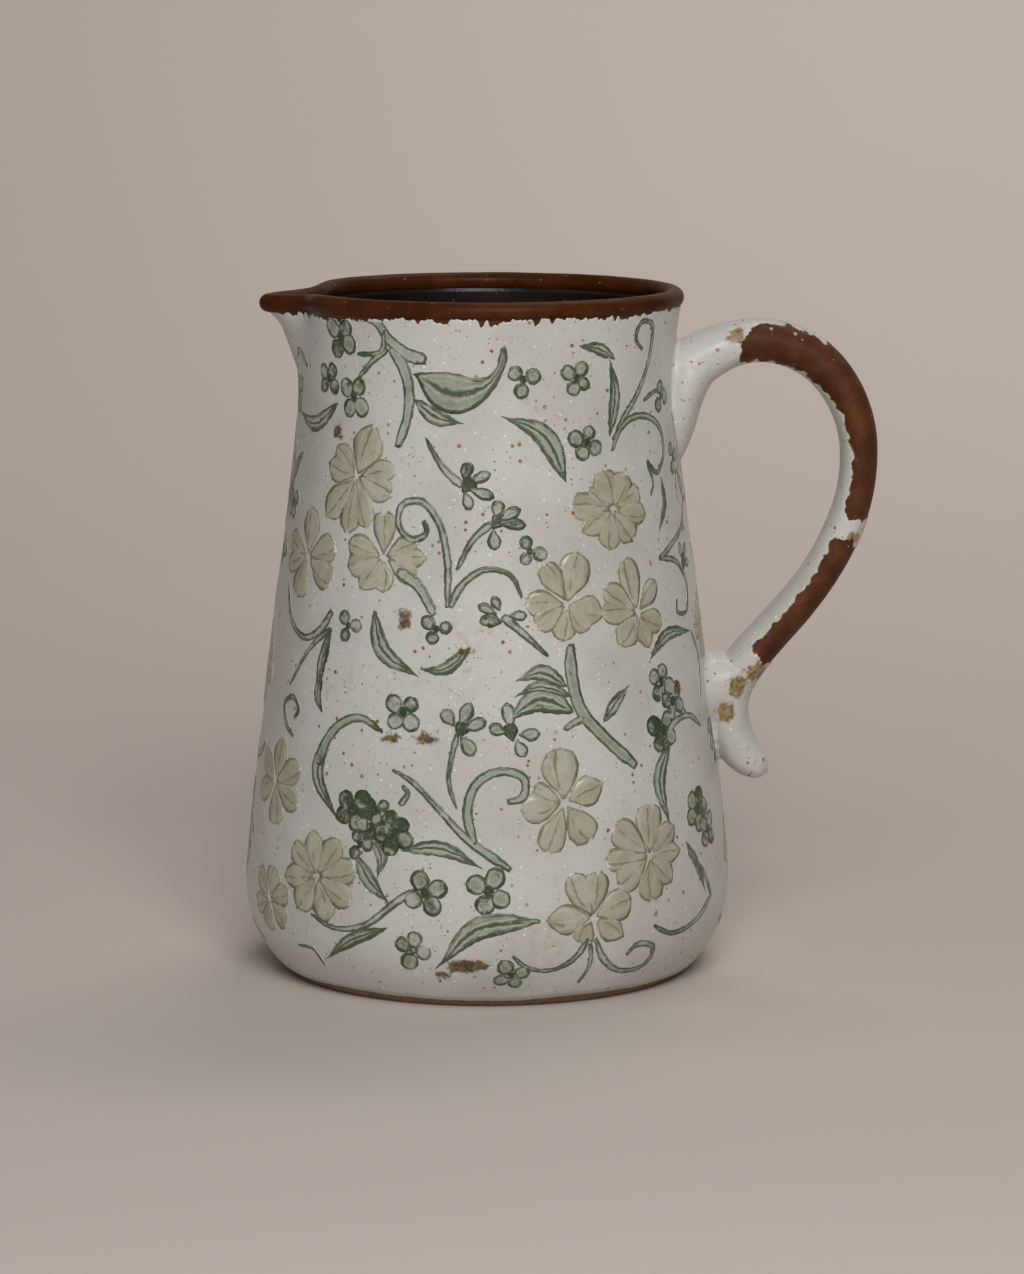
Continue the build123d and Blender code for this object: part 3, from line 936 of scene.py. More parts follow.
# Flowers: direction in degrees from the front, height, then each petal's own direction, reach and half width
FLOWERS = [
    (-40.2, 172.4, [(19, 18.4, 6), (78, 15, 3.5), (110, 15, 4.2), (161, 17.4, 3.8), (-173, 18.5, 4),
      (-137, 19, 4.7), (-78, 14.2, 4.1), (-48, 13.7, 3.5)]),
    (-58.6, 144.6, [(0, 16, 4.8), (73, 15, 4.6), (118, 16, 4.4), (-161, 14.6, 4.8), (-107, 16, 3.3),
      (-73, 16, 3.3)]),
    (-29.1, 147.1, [(-2, 15, 3.9), (-75, 14.7, 3.9), (-106, 14.7, 4.2), (-142, 13.6, 4.4), (178, 11, 3.4),
      (63, 13.4, 3.2), (88, 14.9, 3), (117, 13.3, 3.3)]),
    (38.3, 162, [(-13, 13.1, 4.8), (31, 12.7, 4.2), (70, 13.5, 3.6), (102, 15.1, 3.5), (144, 12.9, 4.1),
      (-167, 13.1, 4.4), (-119, 14.3, 3.7), (-82, 15.5, 4.3), (-50, 11.5, 3.3)]),
    (22.1, 132.7, [(16, 17.1, 5.2), (-29, 15.3, 3.5), (111, 13.4, 4.8), (142, 11.3, 3.7), (-88, 14, 4.1),
      (-121, 12.7, 3.7), (-168, 12, 3.7)]),
    (44.3, 127.7, [(-11, 19, 4.3), (-55, 16.3, 3.9), (-84, 15.5, 3.6), (-137, 13.7, 4.7), (48, 14, 3.2),
      (115, 12.6, 3.5), (161, 12.4, 3.5)]),
    (19.1, 69, [(-5, 18, 5.9), (69, 14.7, 4.6), (147, 15.3, 4.8), (-157, 17.1, 4.2), (-98, 14.8, 4.4),
      (-66, 11.6, 2.9)]),
    (41.9, 48.9, [(3, 17, 5.3), (-52, 18, 4.7), (-90, 18, 3.6), (-122, 16, 4.3), (-179, 15, 5),
      (136, 13.7, 3.7), (56, 14.7, 3.9), (92, 15, 3.6)]),
    (25.1, 31.1, [(-25, 16.3, 4.3), (9, 15, 4.1), (72, 15.3, 4.9), (124, 13.9, 3.8), (-153, 9.2, 3.4),
      (-90, 16, 4.6)]),
    (-63.5, 68.8, [(8, 15.2, 5), (66, 17, 4.2), (110, 17, 4.2), (169, 14.2, 5.2), (-112, 16, 3.8),
      (-60, 16, 3.8)]),
    (-43.2, 42.1, [(-14, 15.2, 4.6), (35, 15.5, 4.3), (77, 16.5, 4.1), (116, 17, 4.3), (160, 15.4, 4.7),
      (-142, 15.5, 4.8), (-99, 17, 3.6), (-60, 15.5, 3.8)]),
    (-62.2, 30.1, [(16, 11.6, 4.2), (74, 13, 3.4), (124, 13, 3.8), (-164, 11.6, 4.2), (-110, 13, 3.4),
      (-50, 13, 3.8)]),
    (84, 118, [(10, 15, 4.4), (60, 13, 4.2), (112, 13, 4), (168, 15, 4.4), (-140, 13, 4), (-88, 14, 4.2),
      (-40, 13, 4)]),
    (-86, 104, [(-8, 14, 4.4), (46, 13, 4.2), (98, 14, 4), (150, 14, 4.4), (-158, 13, 4), (-104, 14, 4.2),
      (-55, 12, 4)]),
    (88, 42, [(4, 15, 4.6), (58, 14, 4.3), (108, 13, 4.2), (160, 15, 4.4), (-146, 14, 4.2),
      (-92, 14, 4.4), (-44, 13, 4)]),
    (92, 172, [(-4, 13, 4.2), (50, 12, 4), (106, 13, 4), (160, 13, 4.2), (-142, 12, 4), (-84, 13, 4.2)]),
]

# Direction, height, spread of a cluster of berries, number of berries, darkness
BERRIES = [
    (27.7, 205, 3.6, 4, .5), (30.7, 184, 3.8, 4, .45), (-48, 217, 4.6, 4, .7), (-55, 203, 3.8, 4, .7),
    (-43, 198, 4.4, 4, .45), (11, 205, 3.6, 3, .2), (-21, 98, 4.2, 4, .5), (-14, 40, 4.6, 4, .45),
    (0.6, 41, 4.9, 4, .5), (-17, 21, 4, 4, .1), (6, 12.5, 3.8, 4, .15), (-33, 65, 4.6, 5, .95),
    (-28, 60, 4.2, 4, .9), (-22, 59, 4.4, 5, .95), (-13, 125, 3.4, 3, .4), (-39, 124, 3.4, 3, .1),
    (50, 88, 4.6, 4, .7), (55, 97, 4, 4, .6), (62, 60, 4.8, 5, .7), (51, 104, 4.2, 4, .5),
    (12, 150, 3.2, 3, .1), (67, 52, 4, 4, .7), (-31, 54, 3.2, 3, .5), (66, 196, 3.6, 3, .3),
    (-74, 160, 3.6, 4, .4), (80, 82, 4.2, 4, .6), (-80, 196, 4, 4, .5), (-86, 60, 4.2, 4, .6),
    (72, 175, 3.4, 3, .3), (-27, 66, 3, 3, .9),
]

# Buds: direction, height, turn, then for each petal its angle, reach and girth in millimetres
BUDS = [
    (-6.7, 171, 40, [(-25, 6.5, 4.6), (25, 8.5, 4), (70, 9.5, 4), (120, 6.5, 4)]),
    (1.8, 159.4, 35, [(-15, 6, 4.6), (30, 8.5, 4.4), (60, 9.5, 4.2), (140, 7.5, 4.6)]),
    (4.3, 129.5, -75, [(-30, 6, 4), (10, 7, 3.6), (50, 5.5, 3.6), (165, 6.5, 3.6)]),
    (-7, 92.6, 25, [(-60, 7, 5), (0, 8.5, 5), (45, 8.5, 4.6), (120, 8, 5.2)]),
    (6.5, 91.4, -10, [(-60, 6.5, 4.6), (0, 9, 4.8), (100, 7.5, 4.6), (160, 6.5, 4.6)]),
    (70, 140, 20, [(-30, 6, 4), (20, 7, 4), (70, 6, 3.6)]),
    (-80, 140, -20, [(-30, 6, 4), (20, 7, 4), (70, 6, 3.6)]),
]

BOATED = (.05, .42, .72, .92, 1.0, .98, .88, .70, .46, .22, .04)
TAILED = (.10, .24, .20, .28, .50, .80, .98, 1.0, .82, .46, .04)
# Leaves: three or more points from stalk to tip as (direction, height), half width, darkness
LEAVES = [
    ([(5.2, 216.5), (4.6, 210), (1, 204), (-8, 200.5), (-21.5, 206.8)], 6.6, .40, TAILED),
    ([(-21.5, 198.5), (-15, 193), (-6.5, 191)], 2.7, .2), ([(23.5, 171.5), (17, 187), (4.5, 193.5)], 3.5, .3),
    ([(41.6, 210.5), (34, 214.5), (27.5, 215.5)], 2, .6), ([(38.9, 185), (41.8, 199), (39, 211.5)], 2.3, .45),
    ([(-50, 195.5), (-62, 187.5), (-77, 190)], 2.7, .4), ([(-31, 130.5), (-28, 118), (-17, 109.4)], 3, .4),
    ([(-4, 119.5), (-11, 112.2), (-17.3, 112)], 2.1, .5), ([(-45, 123), (-47.5, 111), (-48, 98)], 2.1, .6),
    ([(21, 106), (14, 111), (7.5, 108.5)], 2.8, .35), ([(47, 112), (54.5, 118.5), (69.8, 118)], 2.2, .3),
    ([(-41.5, 90.6), (-45.6, 76), (-37.5, 60.3)], 2.8, .35),
    ([(-20, 53.6), (-11, 54.8), (-0.5, 48.5)], 2.5, .5), ([(12, 31.2), (-2, 28.8), (-11.8, 15)], 3.8, .25),
    ([(52.5, 84.7), (47, 72.5), (49.5, 57)], 3, .3), ([(-32, 51), (-28, 43), (-22.5, 36)], 2.6, .2),
    ([(30.5, 93.7), (34.5, 99.5), (39.5, 105)], 2.1, .5), ([(22.5, 97.8), (14, 102.5), (5, 96)], 4.2, .45),
    ([(55, 51), (59.5, 42), (63, 31.6)], 1.7, .4), ([(-23, 28), (-33, 22.3), (-42, 14)], 2.2, .5),
    ([(61.4, 171), (62, 162), (55.5, 151)], 1.5, .4), ([(-47, 108), (-47.8, 100), (-45, 94)], 1.8, .7),
    ([(-28, 56), (-25, 51), (-26, 44)], 2.1, .4), ([(22, 103), (13, 106.5), (7, 103.5)], 2.2, .3),
    ([(80, 205), (86, 196), (84, 182)], 2.6, .4), ([(-70, 178), (-78, 168), (-76, 152)], 2.6, .4),
    ([(78, 72), (88, 76), (98, 70)], 2.8, .4), ([(-92, 40), (-84, 46), (-76, 40)], 2.8, .4),
    ([(92, 150), (98, 158), (97, 170)], 2.4, .4), ([(-98, 180), (-92, 170), (-94, 156)], 2.4, .4),
    ([(76, 20), (86, 16), (96, 20)], 2.4, .4), ([(-72, 12), (-82, 16), (-92, 12)], 2.4, .4),
]

# Stems and scrolls: points as (direction, height), half width at the thick end, at the thin end, darkness
STEMS = [
    ([(-42, 225), (-33.6, 223.5), (-29, 217.3), (-23.5, 213), (-17.5, 211.3)], 1.3, 2, .6),
    ([(-29.2, 215), (-25.3, 209.4), (-23.4, 202), (-23.8, 192.4), (-26.7, 182.6)], 2, 1.3, .3),
    ([(-30.8, 221), (-31.8, 214), (-41.3, 212)], 1, .7, .5),
    ([(-29.7, 214.5), (-35.7, 210), (-41.8, 203.5)], 1.1, .6, .5),
    ([(-10.2, 132), (-10.9, 150), (-13.6, 160), (-18.9, 165.8), (-24.2, 164.3), (-25, 157.8),
      (-20.7, 153.3), (-16.6, 156), (-17.6, 159.8)], 1.1, 1, .35),
    ([(-9.5, 132), (-6.9, 138.6), (-.2, 144.3), (6.5, 142.6), (9.7, 135)], 1.3, .5, .2),
    ([(-24.7, 143.4), (-19.4, 139.7), (-13.5, 129.6)], 1.9, 1.2, .1),
    ([(39.5, 180.5), (43.6, 188.7), (53, 200), (58, 212), (57.6, 220.6), (51.5, 221.6), (50, 216.4),
      (53.6, 212.6)], 1.2, .7, .4),
    ([(40, 184), (46.9, 190), (56.9, 190.3), (64.1, 185), (64.5, 177.6), (59.2, 171.7),
      (54.4, 176.3)], 1.2, .7, .4),
    ([(54.4, 195.5), (60, 197.8), (68.6, 198.6)], .8, .5, .2),
    ([(54.4, 176.3), (56.4, 168), (54.5, 164.5)], .9, .4, .5),
    ([(72, 160.5), (74, 170.3), (79, 167), (74.6, 154), (62.7, 147.3), (55, 143.5)], .6, 1, .4),
    ([(55, 144.3), (66, 141), (71, 133), (67.5, 124.6), (62, 126), (63, 130)], 1, .6, .4),
    ([(-69, 134), (-64, 122.3), (-56, 118), (-48.7, 122.2), (-45.3, 128.4)], .7, 1.3, .5),
    ([(-45, 122.7), (-52, 116), (-61.3, 101.3)], 1.1, .5, .4),
    ([(22.3, 120), (22.3, 110), (24.8, 97.5), (30, 89.7), (39.6, 78.3)], 2, 1.7, .35),
    ([(25.5, 96), (22.6, 94.6), (19.6, 92.4)], 1.3, .8, .3),
    ([(-56.4, 85), (-61, 88.7), (-63, 95), (-58.6, 97.8), (-55.6, 94), (-57.4, 91)], .9, .7, .4),
    ([(-26.2, 91), (-33.2, 95), (-39.4, 91.8), (-43.9, 84.6), (-45.6, 77.7)], .9, 1.9, .55),
    ([(5.8, 48), (-4.9, 58.5), (-12.2, 68.7), (-18.6, 76.3), (-23.3, 79.3)], 1.5, .6, .35),
    ([(-2.6, 56.2), (-4.4, 67.4), (-2, 76.2), (4, 79.8), (9.4, 76.9), (8.7, 71.3), (5, 69.8)], 1.5, 1.1, .45),
    ([(-17, 41), (-21.9, 35.6), (-29, 28), (-37.5, 25.7), (-45, 28.8)], 1.3, .6, .4),
    ([(24.2, 24.5), (21.2, 18), (14.8, 14), (8.6, 16.4), (6, 20)], 1.1, .5, .2),
    ([(25.8, 24.3), (28.5, 17), (35.6, 11), (42.4, 12.4), (43.2, 17.6), (37.3, 19.7), (35, 16.7)], 1.1, .9, .2),
    ([(24.7, 22.7), (25.3, 15.6), (23.4, 8.4)], .9, .5, .1),
    ([(66, 30), (58.4, 23.5), (48.5, 21.6), (42, 25.7)], 1.2, .6, .4),
    ([(50.3, 83.5), (53, 88.7), (62, 91.2), (69.3, 86.3)], 1.4, .7, .4),
    ([(66, 30), (62, 39.4), (55.6, 47)], 1, .6, .4), ([(-51, 17), (-45.3, 16.3), (-43.4, 11.2)], .6, .5, .2),
    ([(-18, 186.3), (-11.8, 176), (-6.7, 171)], .6, 1.3, .4),
    ([(-8, 144), (-3, 154.6), (1.8, 159.4)], .6, 1.2, .4),
    ([(16.3, 116), (9.5, 124), (4.3, 129.5)], .6, 1.4, .4),
    ([(-7, 67.7), (-9, 77), (-8.2, 85), (-7, 92)], .5, .9, .3),
    ([(69.8, 118), (73.8, 109), (71.7, 95)], .9, .5, .4), ([(12.4, 31), (7.8, 31.7), (4.3, 30.6)], .7, .5, .5),
    ([(-20.9, 68), (-19, 72.2), (-20.5, 74.5)], 1.1, .5, .6),
    ([(76, 190), (80, 178), (76, 168), (82, 160), (88, 166)], 1.1, .6, .3),
    ([(-70, 205), (-80, 210), (-86, 200), (-82, 190), (-76, 194)], 1.1, .6, .4),
    ([(96, 120), (90, 110), (94, 98), (86, 88), (80, 92)], 1.2, .7, .4),
    ([(-74, 80), (-82, 74), (-92, 78), (-96, 90), (-88, 94)], 1.2, .7, .4),
    ([(84, 58), (94, 52), (98, 40), (92, 30)], 1.2, .6, .4), ([(-76, 48), (-86, 54), (-96, 50)], 1.1, .6, .4),
    ([(-92, 118), (-88, 126), (-92, 140), (-98, 146)], 1.1, .6, .4),
]

PETAL_STEPS, PETAL_SIDES = 9, 5
PETAL_SHAPES = {
    "round_petal": [.08, .27, .47, .68, .86, .97, 1.0, .98, .88, .64, .08],
    "notched_petal": [.08, .24, .42, .60, .77, .90, .98, 1.0, .96, .82, .25],
    "pointed_petal": [.08, .30, .54, .76, .93, 1.0, .98, .86, .66, .38, .04],
}


def petal_width(name, along):
    """Half width of a petal, as a share of its widest place, along its length from 0 to 1."""
    shares = PETAL_SHAPES[name]
    return np.interp(along, np.linspace(0.0, 1.0, len(shares)), shares)


def film_object(name):
    """A film as an object for the node tree to repeat: a grid on top and a single face beneath.

    It is a unit long and a unit to each side, with its own coordinates along and across as attributes.
    """
    along = np.linspace(0.0, 1.0, PETAL_STEPS)
    if name == "berry":
        along = (1 - np.cos(along * math.pi)) / 2
        widths = np.sqrt(np.maximum(1 - (2 * along - 1) ** 2, 0.004))
    else:
        widths = petal_width(name, along)
    a, c = np.meshgrid(along, np.linspace(-1.0, 1.0, PETAL_SIDES), indexing="ij")
    notch = 0.05 * (name == "notched_petal") * (1 - np.abs(c)) * (a > 0.9)
    top = np.stack([c * widths[:, None], a - notch, np.ones_like(a)], -1).reshape(-1, 3)
    border = grid_border(*a.shape)
    beneath = list(range(len(top), len(top) + len(border)))
    faces = grid_faces(*a.shape, False) + [beneath[::-1]]
    for k, here in enumerate(border):
        after = (k + 1) % len(border)
        faces.append([beneath[k], beneath[after], border[after], here])
    mesh = bpy.data.meshes.new(name)
    mesh.from_pydata(np.concatenate([top, top[border] * (1, 1, -1)]).tolist(), [], faces)
    for key, numbers in (("along", a.ravel()), ("across", c.ravel())):
        set_values(mesh, {key: np.concatenate([numbers, numbers[border]])})
    return bpy.data.objects.new(name, mesh)


def scatter_tree():
    """Repeats a film of paint at each seed point, turned and stretched by the seed's own numbers."""
    made = Tree("repeated_paint", [
        ("Film", "NodeSocketObject", None), ("Material", "NodeSocketMaterial", None)])
    film = made.node("GeometryNodeObjectInfo", None, {"Object": made.given["Film"]}, "Geometry")
    points = made.node("GeometryNodeMeshToPoints", None, {"Mesh": made.given["Geometry"]})
    turned = made.node("ShaderNodeCombineXYZ", None, {"Z": made.field("spin")})
    size = made.node(
        "ShaderNodeCombineXYZ", None, {"X": made.field("girth"), "Y": made.field("reach"), "Z": 1.0})
    copies = made.node("GeometryNodeInstanceOnPoints", None,
                       {"Points": points, "Instance": film, "Rotation": turned, "Scale": size})
    return made.close(copies)


def wrap(turn, height, x, y, lift):
    """Carries flat places, x along the wall and y up it from a centre, onto the coat."""
    climb = np.interp(height, CLIMB_Z, CLIMB) + y
    z = np.interp(climb, CLIMB, CLIMB_Z)
    z = np.clip(z, 4.2, 223.0)
    around = turn + np.degrees(x / (profile_radius(z) + WHITE_COAT))
    return coat_point(around, z, lift), around, z


def wobbled(x, y, turn, amount):
    """Small smooth strays of the brush, the same for both faces of a film."""
    px, py = x * 1.3 + turn * 7.1, y * 1.3 - turn * 3.7
    dx = np.sin(px * 1.1 + 1.7 * np.sin(py * 0.9)) + 0.6 * np.sin(py * 2.7 + px * 1.9)
    dy = np.sin(py * 1.2 + 1.5 * np.sin(px * 1.1 + 2.0)) + 0.6 * np.sin(px * 2.9 - py * 1.7)
    return x + amount * dx, y + amount * dy


SEED_KEYS = {"turn": 0, "height": 1, "spin": 4, "reach": 5, "girth": 6, "tone": 7, "dark": 8}


def paint_seeds(seeds, shape, material):
    """Grows films at seeds (turn, height, x, y, spin, reach, girth, tone, dark) and returns their arrays."""
    rows = np.array(seeds, float)
    mesh = bpy.data.meshes.new("seeds")
    mesh.from_pydata([(x, y, 0.0) for x, y in rows[:, 2:4]], [], [])
    set_values(mesh, {key: rows[:, column] for key, column in SEED_KEYS.items()})
    film = film_object(shape)
    grown = grown_mesh("seeds", mesh, scatter_tree(), {"Film": film, "Material": material})
    flat = np.empty(len(grown.vertices) * 3)
    grown.vertices.foreach_get("co", flat)
    data = {"flat": flat.reshape(-1, 3), "faces": [list(face.vertices) for face in grown.polygons]}
    for key in ("turn", "height", "reach", "girth", "tone", "dark", "along", "across"):
        numbers = np.empty(len(grown.vertices), np.float32)
        grown.attributes[key].data.foreach_get("value", numbers)
        data[key] = numbers.astype(float)
    bpy.data.meshes.remove(grown)
    bpy.data.objects.remove(film)
    return data


FILM_FLOOR = -0.12  # the underside of a film, inside the coat


def lay_films(name, batches, material, lift, wobble):
    """Joins batches of films and lays them on the coat as one piece."""
    points, faces, smooth = [], [], []
    columns = {key: [] for key in ("edge", "along", "across", "tone", "dark", "smudge")}
    total = 0
    for data in batches:
        x, y = wobbled(data["flat"][:, 0], data["flat"][:, 1], data["turn"], wobble)
        up = data["flat"][:, 2] > 0
        dome = 0.30 + 0.70 * (1 - data["across"] ** 2)
        high = np.where(up, lift * dome + 0.04 * data["tone"], FILM_FLOOR)
        at, around, z = wrap(data["turn"], data["height"], x, y, high)
        points.append(at)
        faces += shifted(data["faces"], total)
        smooth += [bool(up[face].all()) for face in data["faces"]]
        total += len(at)
        side = (1 - np.abs(data["across"])) * data["wide"]
        ends = np.minimum(data["along"] * data["start_gap"], (1 - data["along"]) * data["long"])
        columns["edge"].append(np.minimum(side, ends))
        columns["smudge"].append(smudge_at(around, z))
        for key in ("along", "across", "tone", "dark"):
            columns[key].append(data[key])
    values = {key: np.concatenate(numbers) for key, numbers in columns.items()}
    return make_piece(name, np.concatenate(points), faces, material, (), values, smooth)


class PITCHER_OT_flowers(bpy.types.Operator):
    """Paints the sage flowers round the wall, petal by petal."""

    bl_idname = "pitcher.flowers"
    bl_label = "Flowers"

    def execute(self, context):
        settings = context.scene.pitcher
        draw = np.random.default_rng(settings.seed + 1)
        seeds = {name: [] for name in PETAL_SHAPES}
        names = list(seeds)
        for side in SIDES:
            for turn, height, petals in FLOWERS:
                for direction, reach, half_width in petals:
                    spin = -math.radians(direction)
                    start = draw.uniform(0.7, 1.6)
                    seeds[names[draw.choice(len(names), p=(0.5, 0.25, 0.25))]].append(
                        (turn + side, height, -start * math.sin(spin), start * math.cos(spin), spin,
                         reach - start + 0.4, half_width + 0.7, draw.uniform(0, 1), draw.uniform(0, 0.12)))
        material = paint_glaze("sage_paint", SAGE, 1.15, folded=True)
        batches = []
        for shape, rows in seeds.items():
            data = paint_seeds(rows, shape, material)
            data.update(wide=petal_width(shape, data["along"]) * data["girth"], long=data["reach"] * 0.9,
                        start_gap=data["reach"] * 2.0)
            batches.append(data)
        lay_films("painted_flowers", batches, material, settings.paint_height / MM * 0.8, 0.16)
        return {"FINISHED"}


class PITCHER_OT_berries(bpy.types.Operator):
    """Paints the clusters of green berries and the buds."""

    bl_idname = "pitcher.berries"
    bl_label = "Berries and Buds"

    def execute(self, context):
        settings = context.scene.pitcher
        draw = np.random.default_rng(settings.seed + 2)
        berries, buds = [], []
        for side in SIDES:
            for turn, height, spread, count, dark in BERRIES:
                first = draw.uniform(20, 70)
                for k in range(count):
                    spin = math.radians(first + 360.0 * k / count + draw.uniform(-12, 12))
                    size = spread * draw.uniform(0.66, 0.80)
                    start = spread * 0.22
                    berries.append((turn + side, height, -start * math.sin(spin), start * math.cos(spin), spin,
                                    size * 2 * draw.uniform(0.92, 1.1), size, draw.uniform(0, 1),
                                    dark * draw.uniform(0.4, 1.0)))
                berries.append((turn + side, height, 0.0, -spread * 0.38, 0.0, spread * 0.86, spread * 0.36,
                                1.6, 0.55 + dark * 0.6))
            for turn, height, lean, petals in BUDS:
                buds.append((turn + side, height, 0.0, -2.2, math.radians(-lean), 6.4, 2.6, 0.9, 0.75))
                for angle, reach, girth in petals:
                    spin = math.radians(-lean - angle)
                    buds.append((turn + side, height, -1.7 * math.sin(spin), 1.7 * math.cos(spin), spin, reach,
                                 girth / 2, draw.uniform(0, 1), draw.uniform(0.15, 0.5)))
        material = paint_glaze("green_berry_paint", BERRY_GREEN, 1.25)
        data = paint_seeds(berries, "berry", material)
        data.update(wide=data["girth"] * 0.9, long=data["reach"], start_gap=data["reach"])
        more = paint_seeds(buds, "round_petal", material)
        more.update(wide=petal_width("round_petal", more["along"]) * more["girth"], long=more["reach"] * 0.9,
                    start_gap=more["reach"])
        lay_films("painted_berries_and_buds", [data, more], material, settings.paint_height / MM * 1.6, 0.10)
        return {"FINISHED"}


def ribbon(route, widths, steps, columns, tone, dark):
    """Film of paint along a route of (direction, height), with widths given at even places along it."""
    route = np.array(route, float)
    centre = route.mean(0)
    climb = np.interp(route[:, 1], CLIMB_Z, CLIMB) - np.interp(centre[1], CLIMB_Z, CLIMB)
    radius = profile_radius(route[:, 1]) + WHITE_COAT
    flat = np.stack([np.radians(route[:, 0] - centre[0]) * radius, climb], -1)
    knots = lengths_along(flat)
    at = np.linspace(0.0, knots[-1], steps)
    line = np.stack([cubic(knots, flat[:, k], at) for k in (0, 1)], -1)
    along = unit_slopes(line)
    aside = np.stack([-along[:, 1], along[:, 0]], -1)
    half = np.interp(np.linspace(0, 1, steps), np.linspace(0, 1, len(widths)), widths)
    across = np.linspace(-1.0, 1.0, columns)
    grid = line[:, None] + aside[:, None] * (half[:, None] * across[None, :])[..., None]
    a, c = np.meshgrid(np.linspace(0, 1, steps), across, indexing="ij")
    both = np.concatenate([np.dstack([grid, np.full(a.shape, h)]).reshape(-1, 3) for h in (1.0, -1.0)])
    same = {"turn": centre[0], "height": centre[1], "tone": tone, "dark": dark, "long": knots[-1],
            "start_gap": knots[-1]}
    data = {key: np.full(len(both), number) for key, number in same.items()}
    data.update(flat=both, along=np.tile(a.ravel(), 2), across=np.tile(c.ravel(), 2),
                wide=np.tile(np.repeat(half, columns), 2),
                faces=[face[::-1] for face in slab_faces(steps, columns)])
    return data


class PITCHER_OT_leaves(bpy.types.Operator):
    """Paints the green leaves."""

    bl_idname = "pitcher.leaves"
    bl_label = "Leaves"

    def execute(self, context):
        settings = context.scene.pitcher
        draw = np.random.default_rng(settings.seed + 3)
        batches = []
        for side in SIDES:
            for route, wide, dark, *form in LEAVES:
                widths = np.array(form[0] if form else BOATED) * (wide + 0.2)
                data = ribbon([(t + side, z) for t, z in route], widths, 26, 9, draw.uniform(0, 1), dark)
                ends = np.clip(np.abs(data["along"] - 0.5) * 2 - 0.66, 0, 1) * 2.4
                data["dark"] = data["dark"] * (0.30 + 0.7 * np.clip(data["across"], 0, 1)) + 0.5 * ends
                batches.append(data)
        material = paint_glaze("green_leaf_paint", LEAF_GREEN, 1.5, vein=LEAF_VEIN)
        lay_films("painted_leaves", batches, material, settings.paint_height / MM * 1.1, 0.14)
        return {"FINISHED"}


class PITCHER_OT_stems(bpy.types.Operator):
    """Paints the stems, scrolls and tendrils."""

    bl_idname = "pitcher.stems"
    bl_label = "Stems and Scrolls"

    def execute(self, context):
        settings = context.scene.pitcher
        draw = np.random.default_rng(settings.seed + 4)
        batches = []
        for side in SIDES:
            for route, start, end, dark in STEMS:
                widths = np.linspace(start, end, 9) * 1.15 + 0.1
                widths[0] *= 0.55
                widths[-2:] *= (1.1, 0.70)
                steps = 10 + 7 * len(route)
                data = ribbon([(t + side, z) for t, z in route], widths, steps, 5, draw.uniform(0, 1), dark)
                ends = np.clip(np.abs(data["along"] - 0.5) * 2 - 0.62, 0, 1)
                data["dark"] = 0.10 + data["dark"] * (0.35 + 1.6 * ends)
                batches.append(data)
        material = paint_glaze("green_stem_paint", STEM_GREEN, 1.0)
        lay_films("painted_stems", batches, material, settings.paint_height / MM * 1.35, 0.09)
        return {"FINISHED"}


# ---------------------------------------------------------------- stage

# Everything here is in metres. Lights: name, place, size, the setting that holds the power and its share of it,
# colour, what it is aimed at
MIDDLE = (0.0, 0.0, 0.11)
LIGHTS = (
    ("key_light", (0.16, -1.42, 1.02), 0.8, "key_power", 1.0, (1.0, 0.985, 0.975), MIDDLE),
    ("fill_light", (-1.5, -0.9, 0.7), 1.2, "fill_power", 1.0, (0.96, 0.98, 1.0), MIDDLE),
    ("back_light", (1.0, 0.9, 1.1), 0.9, "fill_power", 0.4, (1.0, 0.98, 0.96), MIDDLE),
    ("wall_light", (0.5, 0.9, 1.9), 1.0, "wall_power", 1.0, (1.0, 0.95, 0.92), (0.4, 2.4, 0.3)),
)
ROOM_COLOUR, ROOM_STRENGTH = (0.95, 0.97, 1.0, 1.0), 0.088
CAMERA_PLACE, CAMERA_AIM = (0.0084, -1.6006, 0.3598), (0.0084, 0.0, 0.1118)
LENS, SENSOR_WIDTH = 135.69, 36.0
# The floor's section: level, then a bend of this radius, then upright to this height
BEND_START, BEND_RADIUS, BACKDROP_TOP, FLOOR_SIDE = 1.0, 1.4, 4.0, 5.0


def placed(name, data, place, at):
    """An object at a place that looks at a point."""
    made = bpy.data.objects.new(name, data)
    made.location = place
    made.rotation_euler = (Vector(at) - made.location).to_track_quat("-Z", "Y").to_euler()
    bpy.context.scene.collection.objects.link(made)
    return made


def floor_mesh():
    """Level floor that bends up into a backdrop."""
    section = [(-4.0, 0.0), (-2.0, 0.0), (0.0, 0.0), (0.6, 0.0)]
    section += [(BEND_START + BEND_RADIUS * math.sin(a), BEND_RADIUS * (1 - math.cos(a)))
                for a in np.linspace(0, math.pi / 2, 25)]
    section += [(BEND_START + BEND_RADIUS, BACKDROP_TOP)]
    points = [(x, y, z) for y, z in section for x in (-FLOOR_SIDE, FLOOR_SIDE)]
    mesh = bpy.data.meshes.new("floor")
    mesh.from_pydata(points, [], [[2 * i, 2 * i + 1, 2 * i + 3, 2 * i + 2] for i in range(len(section) - 1)])
    mesh.polygons.foreach_set("use_smooth", [True] * len(mesh.polygons))
    return mesh


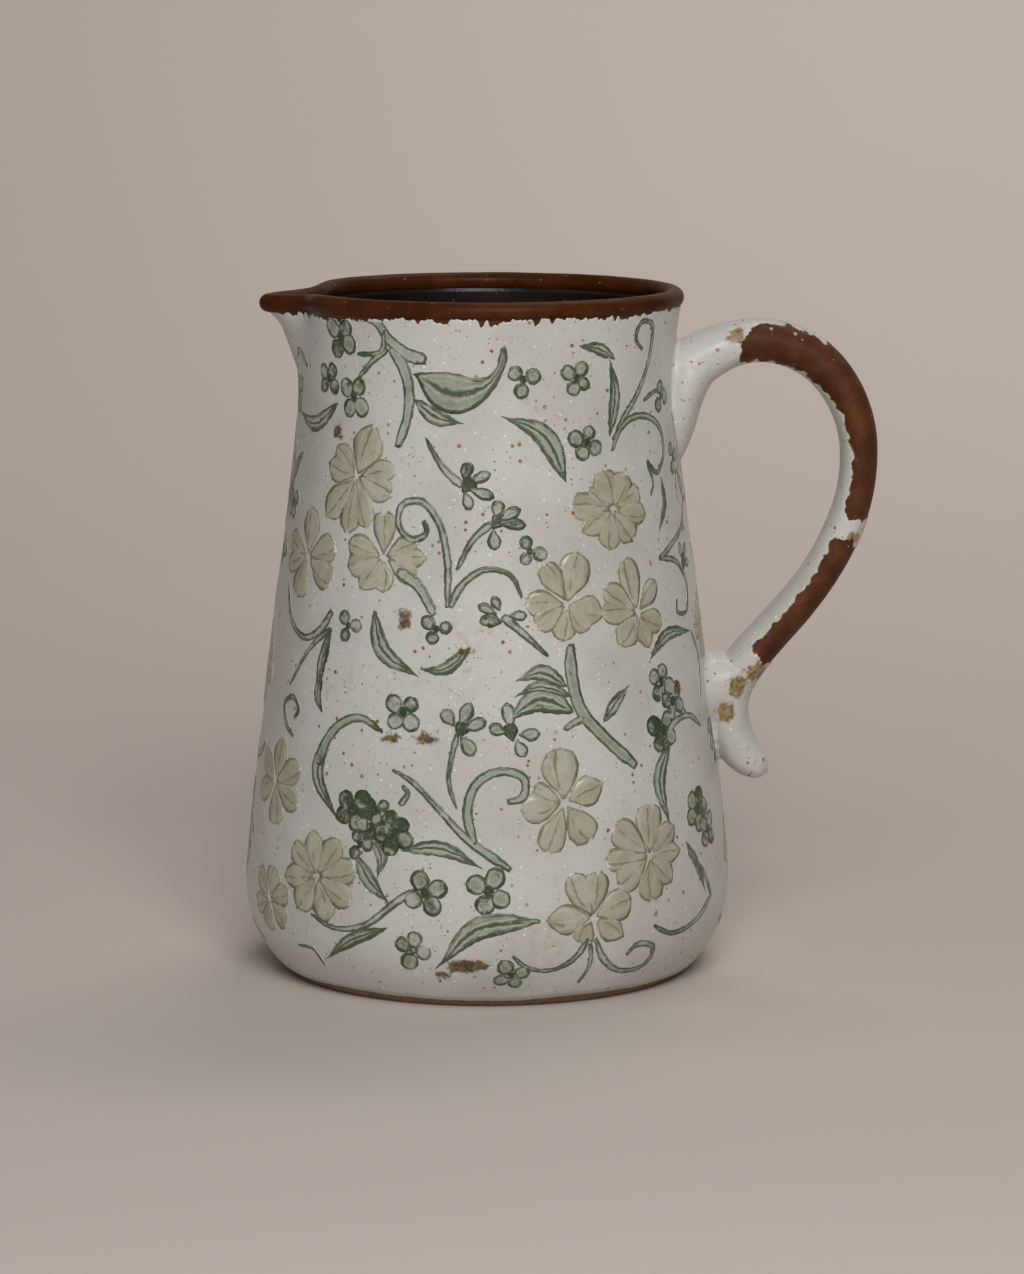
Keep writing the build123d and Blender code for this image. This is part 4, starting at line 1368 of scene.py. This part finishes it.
class PITCHER_OT_stage(bpy.types.Operator):
    """Sets the pale floor, the soft lights and the camera."""

    bl_idname = "pitcher.stage"
    bl_label = "Stage"

    def execute(self, context):
        settings = context.scene.pitcher_stage
        mesh = floor_mesh()
        shade = Shade("pale_floor")
        tint = shade.mix(shade.noise(3.0, 3.0) * 0.25, tuple(settings.floor_colour), (0.66, 0.60, 0.56))
        mesh.materials.append(shade.finish(tint, 0.8, specular=0.15))
        floor = bpy.data.objects.new("floor", mesh)
        context.scene.collection.objects.link(floor)

        for name, place, size, power, share, colour, at in LIGHTS:
            lamp = bpy.data.lights.new(name, "AREA")
            lamp.size = size
            lamp.energy = getattr(settings, power) * share
            lamp.color = colour
            placed(name, lamp, place, at)
        world = bpy.data.worlds.new("soft_room")
        world.use_nodes = True
        room = world.node_tree.nodes["Background"].inputs
        room["Color"].default_value = ROOM_COLOUR
        room["Strength"].default_value = ROOM_STRENGTH
        context.scene.world = world

        lens = bpy.data.cameras.new("camera")
        lens.lens = LENS
        lens.sensor_width = SENSOR_WIDTH
        context.scene.camera = placed("camera", lens, CAMERA_PLACE, CAMERA_AIM)
        context.scene.view_settings.view_transform = "Standard"
        return {"FINISHED"}


class PITCHER_PT_panel(bpy.types.Panel):
    """Lists the pitcher's pieces in the sidebar."""

    bl_label = "Painted Pitcher"
    bl_idname = "PITCHER_PT_panel"
    bl_space_type = "VIEW_3D"
    bl_region_type = "UI"
    bl_category = "Pitcher"

    def draw(self, context):
        for settings in (context.scene.pitcher, context.scene.pitcher_stage):
            for key in settings.__annotations__:
                self.layout.prop(settings, key)
        for operator in OPERATORS:
            self.layout.operator(operator.bl_idname)


OPERATORS = (
    PITCHER_OT_body_and_lining, PITCHER_OT_white_coat, PITCHER_OT_rolled_lip, PITCHER_OT_handle,
    PITCHER_OT_flowers, PITCHER_OT_leaves, PITCHER_OT_stems, PITCHER_OT_berries, PITCHER_OT_stage,
)
CLASSES = (PitcherSettings, StageSettings, *OPERATORS, PITCHER_PT_panel)


def register():
    for each in CLASSES:
        bpy.utils.register_class(each)
    bpy.types.Scene.pitcher = PointerProperty(type=PitcherSettings)
    bpy.types.Scene.pitcher_stage = PointerProperty(type=StageSettings)


def unregister():
    del bpy.types.Scene.pitcher_stage
    del bpy.types.Scene.pitcher
    for each in reversed(CLASSES):
        bpy.utils.unregister_class(each)


def main():
    register()
    for operator in OPERATORS:
        group, name = operator.bl_idname.split(".")
        getattr(getattr(bpy.ops, group), name)()


if __name__ == "__main__":
    main()
